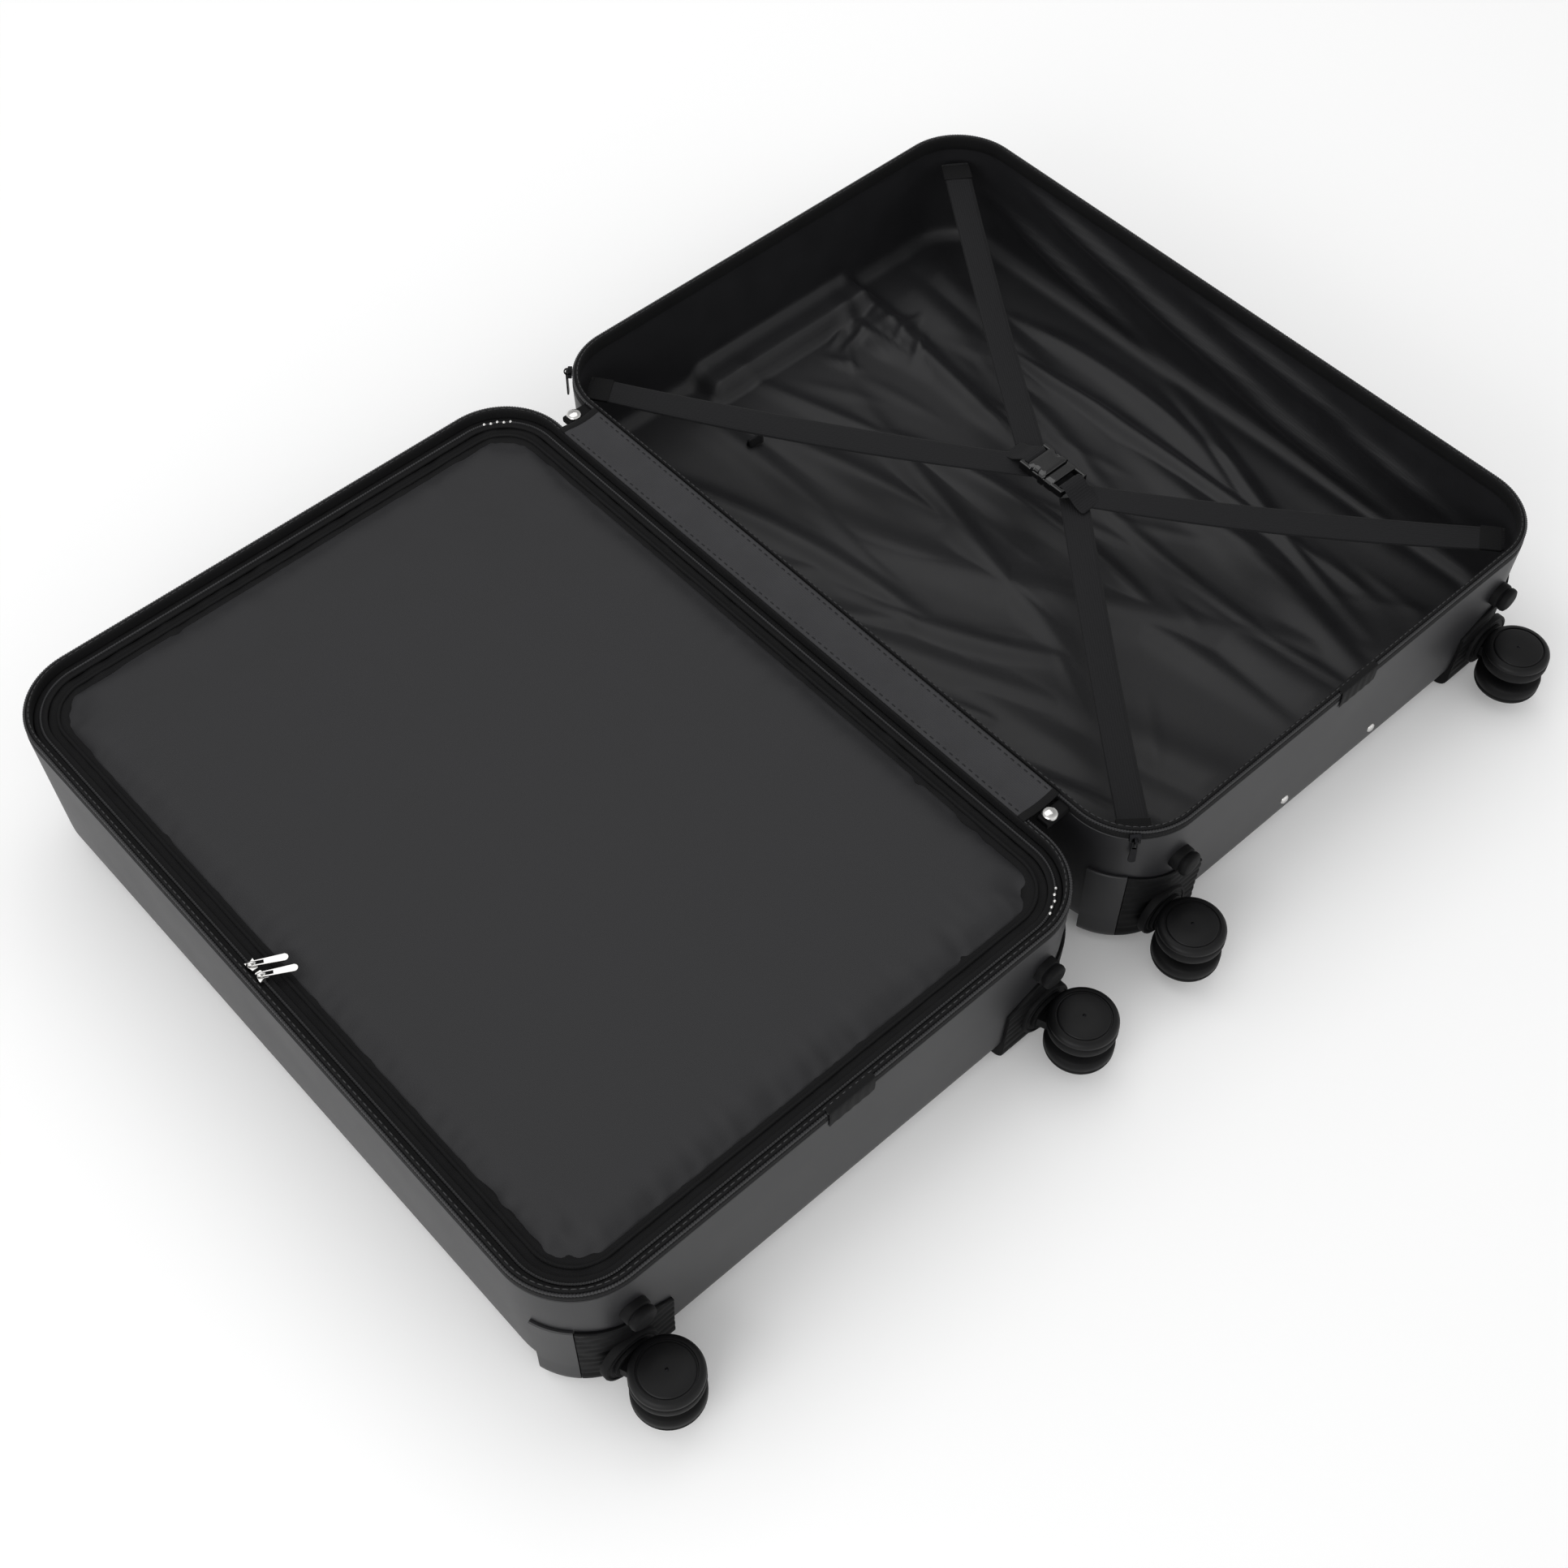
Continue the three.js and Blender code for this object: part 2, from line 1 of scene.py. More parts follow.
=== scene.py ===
"""Open hard shell suitcase: shells, linings, zips, divider, straps, handles, lock and casters.

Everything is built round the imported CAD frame, in metres with +Z up: the back half on +X, the
front half on -X, the wheels at -Y and the telescopic handle at +Y.
"""
import json
import math

import bmesh
import bpy
import numpy as np
from bpy.props import FloatProperty, FloatVectorProperty, IntProperty, PointerProperty
from mathutils import Matrix, Vector, noise


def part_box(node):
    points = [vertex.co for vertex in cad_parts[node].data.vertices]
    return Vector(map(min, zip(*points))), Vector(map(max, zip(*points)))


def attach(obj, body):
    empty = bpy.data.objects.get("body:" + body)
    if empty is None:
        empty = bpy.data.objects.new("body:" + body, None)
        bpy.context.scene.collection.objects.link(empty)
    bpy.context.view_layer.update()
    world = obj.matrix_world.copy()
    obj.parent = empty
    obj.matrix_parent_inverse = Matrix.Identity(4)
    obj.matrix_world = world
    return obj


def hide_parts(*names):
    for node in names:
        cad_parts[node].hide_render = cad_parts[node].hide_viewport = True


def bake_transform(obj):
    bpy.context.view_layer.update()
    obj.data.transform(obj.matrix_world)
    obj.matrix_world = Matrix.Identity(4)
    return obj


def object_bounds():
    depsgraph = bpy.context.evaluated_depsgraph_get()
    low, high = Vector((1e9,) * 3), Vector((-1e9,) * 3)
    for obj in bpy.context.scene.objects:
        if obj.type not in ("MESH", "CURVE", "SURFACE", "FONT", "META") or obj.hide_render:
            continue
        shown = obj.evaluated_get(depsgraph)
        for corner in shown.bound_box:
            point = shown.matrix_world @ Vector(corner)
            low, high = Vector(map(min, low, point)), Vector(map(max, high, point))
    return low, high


bl_info = {
    "name": "Open Hard Shell Suitcase",
    "version": (1, 0, 0),
    "blender": (4, 5, 0),
    "location": "3D View > Sidebar > Suitcase",
    "description": "Builds an open hard shell suitcase and its studio, one group of pieces at a time",
    "category": "Object",
}

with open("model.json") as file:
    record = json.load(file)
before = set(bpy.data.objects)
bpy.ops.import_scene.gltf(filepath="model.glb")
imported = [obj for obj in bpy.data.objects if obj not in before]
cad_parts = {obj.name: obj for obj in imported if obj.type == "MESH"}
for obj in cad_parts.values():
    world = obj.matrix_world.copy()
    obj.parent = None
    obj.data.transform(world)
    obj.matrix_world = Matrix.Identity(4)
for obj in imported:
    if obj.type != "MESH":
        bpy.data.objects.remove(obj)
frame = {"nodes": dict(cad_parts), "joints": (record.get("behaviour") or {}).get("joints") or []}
CAD_BOX = [list(corner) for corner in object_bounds()]
NODES = frame["nodes"]
JOINTS = {joint["name"]: joint for joint in frame["joints"]}

MM = 0.001
DEGREE = math.pi / 180

# ---- the shape that every piece follows ----
SHELL_LOW, SHELL_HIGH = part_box("back_shell")
WIDTH, LENGTH, RIM = SHELL_HIGH - SHELL_LOW
CENTRES = {half: sum(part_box(f"{half}_shell"), Vector()) / 2 for half in ("back", "front")}
BODIES = {"back": "base", "front": "front"}
HINGE = Vector(JOINTS["lid_hinge"]["pos_m"])
# Radius of the shell's corners in plan, of the edge round its floor, the draft and the thickness.
CORNER = 62 * MM
FILLET = 32 * MM
DRAFT = 4 * MM
WALL = 2.6 * MM
TAPE_TOP = HINGE.z - 0.5 * MM
# Step along the outline for anything that goes round a half.
OUTLINE_STEP = 4 * MM
DIVIDER_LOW, DIVIDER_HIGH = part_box("divider_panel")
BACK_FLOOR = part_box("back_lining")[0].z + 1.5 * MM
FRONT_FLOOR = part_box("front_lining")[0].z + 1.5 * MM


def linear(code):
    """A linear RGBA colour from an sRGB hex value such as "#2a2a2c"."""
    values = [int(code[i:i + 2], 16) / 255 for i in (1, 3, 5)]
    return [v / 12.92 if v <= 0.04045 else ((v + 0.055) / 1.055) ** 2.4 for v in values] + [1.0]


def colour(name, code, description):
    return FloatVectorProperty(
        name=name, description=description, default=linear(code), size=4, subtype="COLOR", min=0, max=1,
    )


class SuitcaseColours(bpy.types.PropertyGroup):
    """Colours of the suitcase's materials."""

    shell: colour("Shell", "#1a1a1c", "Moulded polycarbonate of both shells")
    lining: colour("Lining", "#171719", "Polyester satin inside both halves")
    tape: colour("Zip tape", "#0c0c0d", "Woven tape round the rims")
    coil: colour("Zip coil", "#1c1c1e", "Nylon coil of the zips")
    web: colour("Hinge web", "#323234", "Woven nylon between the halves")
    panel: colour("Divider", "#1f1f21", "Polyester cover of the divider")
    strap: colour("Straps", "#131315", "Elastic webbing across the back half")
    fitting: colour("Fittings", "#070708", "Moulded nylon of handles and caster housings")
    gloss: colour("Buckle", "#0a0a0b", "Polished acetal of the buckle and buttons")
    tyre: colour("Tyres", "#070708", "Polyurethane of the caster wheels")
    cap: colour("Wheel caps", "#0c0c0d", "ABS caps on the caster wheels")
    floor: colour("Floor", "#fbfbfb", "Paper floor of the studio")


class SuitcaseSizes(bpy.types.PropertyGroup):
    """Sizes that shape the soft pieces and the trim."""

    coil_width: FloatProperty(
        name="Coil width", description="Width across the nylon coil of a zip",
        default=2.7 * MM, unit="LENGTH",
    )
    coil_pitch: FloatProperty(
        name="Coil pitch", description="Distance from one turn of the coil to the next",
        default=2.4 * MM, unit="LENGTH",
    )
    strap_width: FloatProperty(
        name="Strap width", description="Width of the elastic webbing", default=25 * MM, unit="LENGTH",
    )
    fold_depth: FloatProperty(
        name="Fold depth", description="Height of the long folds in the loose lining",
        default=11 * MM, unit="LENGTH",
    )
    pad_swell: FloatProperty(
        name="Pad swell", description="How far the divider's pad may swell when it is filled",
        default=5 * MM, unit="LENGTH",
    )
    wheel_segments: IntProperty(
        name="Wheel segments", description="Steps round each caster wheel", default=72, min=24,
    )


class SuitcaseStudio(bpy.types.PropertyGroup):
    """Camera and lights round the suitcase."""

    azimuth: FloatProperty(
        name="Azimuth", description="Camera's turn round the case from the wheel end",
        default=-42.59 * DEGREE, subtype="ANGLE",
    )
    elevation: FloatProperty(
        name="Elevation", description="Camera's height above the floor as an angle",
        default=53.95 * DEGREE, subtype="ANGLE",
    )
    distance: FloatProperty(
        name="Distance", description="From the camera to the point it looks at",
        default=1.8011, unit="LENGTH",
    )
    lens: FloatProperty(name="Lens", description="Focal length in millimetres", default=51.93)
    key_power: FloatProperty(name="Key light", description="Power of the large top light", default=26)


# ---- materials ----
def add_node(material, kind, settings=None, links=()):
    """Adds a node, sets its properties or inputs, and links (input, node, output) into it."""
    node = material.node_tree.nodes.new(kind)
    for key, value in (settings or {}).items():
        if key in node.inputs:
            node.inputs[key].default_value = value
        else:
            setattr(node, key, value)
    for socket, source, output in links:
        material.node_tree.links.new(source.outputs[output], node.inputs[socket])
    return node


def surface(name, base, settings):
    """A new material with one Principled shader, and its texture coordinates."""
    material = bpy.data.materials.new(name)
    material.use_nodes = True
    shader = material.node_tree.nodes["Principled BSDF"]
    shader.inputs["Base Color"].default_value = base
    for key, value in settings.items():
        shader.inputs[key].default_value = value
    return material, shader, add_node(material, "ShaderNodeTexCoord")


def mottle(material, shader, place, base, scale, amount, wear=0.0):
    """Light and dark clouds in the colour, `scale` of them to a metre, and wear in the roughness."""
    cloud = add_node(
        material, "ShaderNodeTexNoise", {"Scale": scale, "Detail": 3}, [("Vector", place, "Object")],
    )
    mix = add_node(material, "ShaderNodeValToRGB", links=[("Fac", cloud, "Fac")])
    for element, position, share in zip(mix.color_ramp.elements, (0.3, 0.7), (1 - amount, 1 + amount)):
        element.position = position
        element.color = [value * share for value in base[:3]] + [1]
    material.node_tree.links.new(mix.outputs["Color"], shader.inputs["Base Color"])
    if wear:
        rough = shader.inputs["Roughness"].default_value
        worn = add_node(
            material, "ShaderNodeMapRange", {"To Min": rough - wear, "To Max": rough + wear},
            [("Value", cloud, "Fac")],
        )
        material.node_tree.links.new(worn.outputs["Result"], shader.inputs["Roughness"])


def relief(material, shader, height, output, depth):
    """Bump of a given depth in metres from a height pattern."""
    bump = add_node(material, "ShaderNodeBump", {"Distance": depth}, [("Height", height, output)])
    material.node_tree.links.new(bump.outputs["Normal"], shader.inputs["Normal"])


def grain(material, shader, place, pitch, depth):
    """A fine random grain, `pitch` metres from bump to bump."""
    bumps = add_node(
        material, "ShaderNodeTexNoise", {"Scale": 1 / pitch, "Detail": 2}, [("Vector", place, "Object")],
    )
    relief(material, shader, bumps, "Fac", depth)


def weave(material, shader, place, pitch, depth):
    """Threads that cross at right angles, `pitch` metres apart."""
    waves = [
        add_node(
            material, "ShaderNodeTexWave",
            {"bands_direction": axis, "Scale": WAVE_TURN / pitch, "Distortion": 0.4, "Detail Scale": 3},
            [("Vector", place, "Object")],
        )
        for axis in ("X", "Y")
    ]
    crossing = add_node(
        material, "ShaderNodeMath", {"operation": "MULTIPLY"},
        [(0, waves[0], "Fac"), (1, waves[1], "Fac")],
    )
    relief(material, shader, crossing, "Value", depth)


def polycarbonate(base):
    """Moulded polycarbonate, satin: near black, with a broad highlight off a spark-eroded grain."""
    material, shader, place = surface(
        "polycarbonate_satin", base, {"Roughness": 0.44, "IOR": 1.58, "Specular IOR Level": 0.34},
    )
    mottle(material, shader, place, base, 14, 0.12, wear=0.05)
    # The mould's grain is 0.3 mm; it is drawn at 1.1 mm so that it shows.
    grain(material, shader, place, 1.1 * MM, 0.05 * MM)
    return material


def woven(name, base, roughness, mirror, sheen, pitch, depth, clouds=0.1):
    """Woven cloth: threads break up the mirror part, and their fuzz gives a dry sheen at the edges."""
    material, shader, place = surface(name, base, {
        "Roughness": roughness, "IOR": 1.53, "Specular IOR Level": mirror,
        "Sheen Weight": sheen, "Sheen Roughness": 0.4,
    })
    shader.inputs["Sheen Tint"].default_value = linear("#8c8c90")
    mottle(material, shader, place, base, 35, clouds, wear=0.06)
    weave(material, shader, place, pitch, depth)
    return material


def elastic_webbing(base):
    """Knitted elastic: narrow ribs along the strap, which catch the light as fine lines."""
    material, shader, place = surface(
        "elastic_webbing", base,
        {"Roughness": 0.7, "IOR": 1.53, "Specular IOR Level": 0.2, "Sheen Weight": 0.04},
    )
    mottle(material, shader, place, base, 60, 0.1, wear=0.06)
    ribs = add_node(
        material, "ShaderNodeTexWave",
        {"bands_direction": "Y", "Scale": WAVE_TURN / (2.1 * MM), "Distortion": 0.3},
        [("Vector", place, "Object")],
    )
    relief(material, shader, ribs, "Fac", 0.2 * MM)
    return material


def plastic(name, base, roughness, mirror=0.5, pitch=0.9 * MM, depth=0.03 * MM, coat=0.0):
    """Moulded plastic: an even colour with a highlight as wide as its roughness says."""
    material, shader, place = surface(name, base, {
        "Roughness": roughness, "IOR": 1.5, "Specular IOR Level": mirror,
        "Coat Weight": coat, "Coat Roughness": 0.08,
    })
    mottle(material, shader, place, base, 40, 0.15, wear=min(0.06, roughness * 0.3))
    grain(material, shader, place, pitch, depth)
    return material


def metal(name, base, roughness, along=1.0):
    """Plated or anodised metal: bright edges, and brush lines drawn out by `along`."""
    material, shader, place = surface(name, base, {"Roughness": roughness, "Metallic": 1.0})
    mottle(material, shader, place, base, 90, 0.1, wear=0.06)
    stretch = add_node(
        material, "ShaderNodeMapping", {"Scale": (1, 1 / along, 1)}, [("Vector", place, "Object")],
    )
    lines = add_node(
        material, "ShaderNodeTexNoise", {"Scale": 1 / (0.8 * MM), "Detail": 2},
        [("Vector", stretch, "Vector")],
    )
    relief(material, shader, lines, "Fac", 0.02 * MM)
    return material


def paper(base, glow):
    """Matt paper floor, lit a little from below so that it stays even and pale."""
    material, shader, place = surface("paper_matt", base, {
        "Roughness": 0.95, "Specular IOR Level": 0.1, "Emission Color": base, "Emission Strength": glow,
    })
    grain(material, shader, place, 4 * MM, 0.02 * MM)
    return material


# A wave texture of scale 1 has a band every 0.314 m.
WAVE_TURN = 0.314
MAKERS = {
    "shell": lambda c: polycarbonate(c.shell[:]),
    # Satin threads are 0.2 mm apart; they are drawn at 1.2 mm so that they show.
    "lining": lambda c: woven("polyester_satin", c.lining[:], 0.48, 0.34, 0.12, 1.2 * MM, 0.04 * MM),
    "tape": lambda c: woven("nylon_tape", c.tape[:], 0.8, 0.2, 0.03, 1.3 * MM, 0.16 * MM, 0.2),
    "coil": lambda c: plastic("nylon_coil", c.coil[:], 0.42),
    "web": lambda c: woven("nylon_webbing", c.web[:], 0.8, 0.3, 0.1, 1.7 * MM, 0.14 * MM),
    "panel": lambda c: woven("polyester_plain_weave", c.panel[:], 0.62, 0.36, 0.1, 1.4 * MM, 0.05 * MM),
    "strap": lambda c: elastic_webbing(c.strap[:]),
    "fitting": lambda c: plastic("nylon_moulded", c.fitting[:], 0.62, mirror=0.14),
    "gloss": lambda c: plastic("acetal_polished", c.gloss[:], 0.14, depth=0.008 * MM, coat=0.4),
    "tyre": lambda c: plastic("polyurethane_moulded", c.tyre[:], 0.6, mirror=0.18),
    "cap": lambda c: plastic("abs_satin", c.cap[:], 0.45, mirror=0.24),
    "nickel": lambda c: metal("zinc_nickel_plated", linear("#d4d3d1"), 0.2),
    "gunmetal": lambda c: metal("zinc_gunmetal_plated", linear("#1f1f21"), 0.35),
    "aluminium": lambda c: metal("aluminium_anodised", linear("#a6a8ab"), 0.36, along=25),
    "steel": lambda c: metal("steel_turned", linear("#8f9092"), 0.3),
    "paper": lambda c: paper(c.floor[:], 0.06),
}
made_materials = {}


def finish(name):
    """The material of that name, made the first time it is asked for."""
    if name not in made_materials:
        made_materials[name] = MAKERS[name](bpy.context.scene.suitcase_colours)
    return made_materials[name]


# ---- building meshes ----
def piece(name, points, faces, material, body, flat=False):
    """A named mesh that rides on a CAD body, or on nothing yet when body is None."""
    mesh = bpy.data.meshes.new(name)
    mesh.from_pydata([tuple(point) for point in points], [], faces)
    tidy = bmesh.new()
    tidy.from_mesh(mesh)
    bmesh.ops.recalc_face_normals(tidy, faces=tidy.faces)
    tidy.to_mesh(mesh)
    tidy.free()
    mesh.polygons.foreach_set("use_smooth", [not flat] * len(mesh.polygons))
    mesh.materials.append(finish(material))
    made = bpy.data.objects.new(name, mesh)
    bpy.context.scene.collection.objects.link(made)
    if body:
        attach(made, body)
    return made


def skin(rows, around=True, closed=False, caps=False):
    """Points and faces of a skin over rows of points, each row closed if `around` is true."""
    count = len(rows[0])
    faces = []
    for row in range(len(rows) if closed else len(rows) - 1):
        here, above = row * count, (row + 1) % len(rows) * count
        for i in range(count if around else count - 1):
            j = (i + 1) % count
            faces.append((here + i, here + j, above + j, above + i))
    if caps:
        faces.append(tuple(range(count))[::-1])
        faces.append(tuple(range((len(rows) - 1) * count, len(rows) * count)))
    return np.concatenate(rows), faces


def outline(spacing):
    """Points about `spacing` apart round a half, as (corner skeleton, outward normals)."""
    x, y = WIDTH / 2 - CORNER, LENGTH / 2 - CORNER
    centres = [(x, y), (-x, y), (-x, -y), (x, -y)]
    skeleton, normals = [], []
    arc_steps = max(6, round(CORNER * math.pi / 2 / spacing))
    for corner in range(4):
        for step in range(arc_steps):
            angle = (corner + step / arc_steps) * math.pi / 2
            skeleton.append(centres[corner])
            normals.append((math.cos(angle), math.sin(angle)))
        start, stop = Vector(centres[corner]), Vector(centres[(corner + 1) % 4])
        angle = (corner + 1) * math.pi / 2
        run_steps = round((stop - start).length / spacing)
        for step in range(run_steps):
            skeleton.append(tuple(start.lerp(stop, step / run_steps)))
            normals.append((math.cos(angle), math.sin(angle)))
    return np.array(skeleton), np.array(normals)


def ring(half, path, inset, height):
    """The outline of one half, `inset` inside its rim, at a height. Both may vary along it."""
    skeleton, normals = path
    plan = skeleton + (CORNER - np.reshape(inset, (-1, 1))) * normals
    centre = np.array(CENTRES[half][:2])
    return np.column_stack([plan + centre, np.broadcast_to(height, len(plan))])


def wall_taper(height):
    """How far the draft has drawn the wall in at a height."""
    return DRAFT * (RIM - max(height, FILLET)) / (RIM - FILLET)


def inset_at(height):
    """How far the shell's outer face stands inside the rim outline at a height."""
    below = max(FILLET - height, 0) / FILLET
    return wall_taper(height) + FILLET * (1 - math.sqrt(1 - below * below))


def box_points(low, high):
    """Points and faces of a box."""
    corners = [(x, y, z) for z in (low[2], high[2]) for y in (low[1], high[1]) for x in (low[0], high[0])]
    faces = [(0, 2, 3, 1), (4, 5, 7, 6), (0, 1, 5, 4), (2, 6, 7, 3), (0, 4, 6, 2), (1, 3, 7, 5)]
    return np.array(corners), faces


def thicken(made, thickness):
    """Gives a skin of cloth its thickness."""
    thick = made.modifiers.new("cloth thickness", "SOLIDIFY")
    thick.thickness = thickness


def refine(made, levels):
    """Smooths a piece by subdividing it."""
    smooth = made.modifiers.new("smooth shape", "SUBSURF")
    smooth.levels = smooth.render_levels = levels


def shade_smooth(made):
    """Shades every face of a mesh object smoothly."""
    made.data.polygons.foreach_set("use_smooth", [True] * len(made.data.polygons))


def merged(blocks):
    """One set of points and faces from several (points, faces) blocks."""
    points, faces, count = [], [], 0
    for block, sides in blocks:
        faces += [tuple(count + i for i in side) for side in sides]
        points.append(block)
        count += len(block)
    return np.concatenate(points), faces


def stitch_row(spots):
    """Raised stitches, each from four pairs of points along it."""
    faces = []
    for first in range(0, len(spots), 8):
        faces += [(first + i, first + i + 1, first + i + 3, first + i + 2) for i in (0, 2, 4)]
    return spots, faces


def soften(made, width, segments=3):
    """Rounds the edges of a piece with a bevel."""
    bevel = made.modifiers.new("rounded edges", "BEVEL")
    bevel.width = width
    bevel.segments = segments
    bevel.limit_method = "ANGLE"
    bevel.harden_normals = True
    return made


def dress(node, material, width=0.0, segments=2):
    """Gives a CAD node its material and, where width isn't nought, rounded edges."""
    made = NODES[node]
    made.data.materials[0] = finish(material)
    if "custom_normal" in made.data.attributes:
        made.data.attributes.remove(made.data.attributes["custom_normal"])
    shade_smooth(made)
    weld = made.modifiers.new("welded corners", "WELD")
    weld.merge_threshold = 0.01 * MM
    if width:
        soften(made, width, segments).modifiers["rounded edges"].harden_normals = False
    even = made.modifiers.new("even shading", "WEIGHTED_NORMAL")
    even.weight = 80
    return made


def lathe(profile, segments):
    """Rows of points for a profile of (radius, height) turned about Z."""
    angles = np.linspace(0, 2 * math.pi, segments, endpoint=False)
    return [
        np.column_stack([r * np.cos(angles), r * np.sin(angles), np.full(segments, h)]) for r, h in profile
    ]


def placed(points, matrix):
    """Points moved by a matrix."""
    return np.array([matrix @ Vector(point) for point in points])


def points_of(made):
    """A mesh object's points as rows of x, y, z."""
    points = np.empty(len(made.data.vertices) * 3, np.float32)
    made.data.vertices.foreach_get("co", points)
    return points.reshape(-1, 3).astype(float)


def move_points(made, points):
    """Puts a mesh object's points where the rows say."""
    made.data.vertices.foreach_set("co", points.astype(np.float32).ravel())
    made.data.update()


def settled(made):
    """Applies a piece's modifiers to its mesh."""
    shown = made.evaluated_get(bpy.context.evaluated_depsgraph_get())
    mesh = bpy.data.meshes.new_from_object(shown)
    made.modifiers.clear()
    made.data = mesh
    return made


# ---- shells ----
class SUITCASE_OT_shells(bpy.types.Operator):
    """Builds the two moulded half shells with rounded lips."""

    bl_idname = "suitcase.shells"
    bl_label = "Shells"

    def execute(self, context):
        path = outline(OUTLINE_STEP)
        for half in ("back", "front"):
            rows = [ring(half, path, inset, height) for inset, height in self.profile()]
            points, faces = skin(rows, caps=True)
            made = piece(f"{half}_shell_moulded", points, faces, "shell", BODIES[half])
            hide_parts(f"{half}_shell")
            if half == "back":
                self.cut_cup_hole(made)
        return {"FINISHED"}

    def profile(self):
        """The wall's section from the middle of the floor outside, over the lip and back inside."""
        steps = 12
        outside = []
        for step in range(steps + 1):
            angle = step / steps * math.pi / 2
            outside.append((wall_taper(0) + FILLET * (1 - math.sin(angle)), FILLET * (1 - math.cos(angle))))
        lip = 0.9 * MM
        over = [
            (lip * (1 - math.cos(a)), RIM - lip * (1 - math.sin(a))) for a in np.linspace(0, math.pi / 2, 5)
        ]
        back = [(WALL - inset, height) for inset, height in reversed(over)]
        inner = FILLET - WALL
        inside = []
        for step in range(steps + 1):
            angle = (1 - step / steps) * math.pi / 2
            inside.append((
                wall_taper(0) + WALL + inner * (1 - math.sin(angle)), WALL + inner * (1 - math.cos(angle)),
            ))
        return outside + over + back + inside

    def cut_cup_hole(self, shell):
        """Opens the back shell for the telescopic handle's cup."""
        low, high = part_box("trolley_cup")
        grow = 0.3 * MM
        points, faces = box_points(
            (low.x - grow, low.y, low.z - grow), (high.x + grow, high.y + 20 * MM, high.z + grow),
        )
        cutter = piece("cup_cutter", points, faces, "shell", "base", flat=True)
        cut = shell.modifiers.new("cup hole", "BOOLEAN")
        cut.operation = "DIFFERENCE"
        cut.solver = "EXACT"
        cut.object = cutter
        settled(shell)
        shell.data.set_sharp_from_angle(angle=40 * DEGREE)
        bpy.data.objects.remove(cutter)


# ---- linings ----
def ridge(points, middle, tilt, reach, width, height, bow=0.0):
    """Height at each plan point of one long soft fold that dies away at both ends."""
    angle = tilt * DEGREE
    offset = points - np.array(middle)
    along = (offset @ np.array((math.sin(angle), math.cos(angle)))) / reach
    across = offset @ np.array((math.cos(angle), -math.sin(angle))) + bow * along ** 2
    fade = np.cos(np.clip(along, -1, 1) * math.pi / 2) ** 2
    return height * fade * np.exp(-((across / (width * (0.55 + 0.45 * fade))) ** 2))


def floor_folds(points, seed, count, depth):
    """Loose satin: long folds that fan out from one corner, with small creases between them."""
    random = np.random.default_rng(seed)
    total = np.zeros(len(points))
    for number in range(count):
        x = (number + random.uniform(0.1, 0.9)) / count * 2 - 1
        middle = (x * WIDTH * 0.5, random.uniform(-0.42, 0.38) * LENGTH)
        # Folds lean towards the far side by more the farther they lie from the hinge.
        lean = 8 - 18 * x + random.normal(0, 9)
        long = random.uniform(0.2, 0.5) * LENGTH
        wide = random.uniform(9, 22) * MM
        tall = depth * random.uniform(0.35, 1.0)
        total = np.maximum(total, ridge(points, middle, -lean, long, wide, tall, random.normal(0, 0.03)))
    for number in range(count):
        middle = random.uniform(-0.45, 0.45, 2) * (WIDTH, LENGTH)
        lean = random.normal(14, 30)
        total += ridge(points, middle, -lean, random.uniform(30, 80) * MM, 7 * MM, depth * 0.12)
    return total


def smooth_step(value):
    """Rises from 0 to 1 with a soft start and end."""
    value = np.clip(value, 0, 1)
    return value * value * (3 - 2 * value)


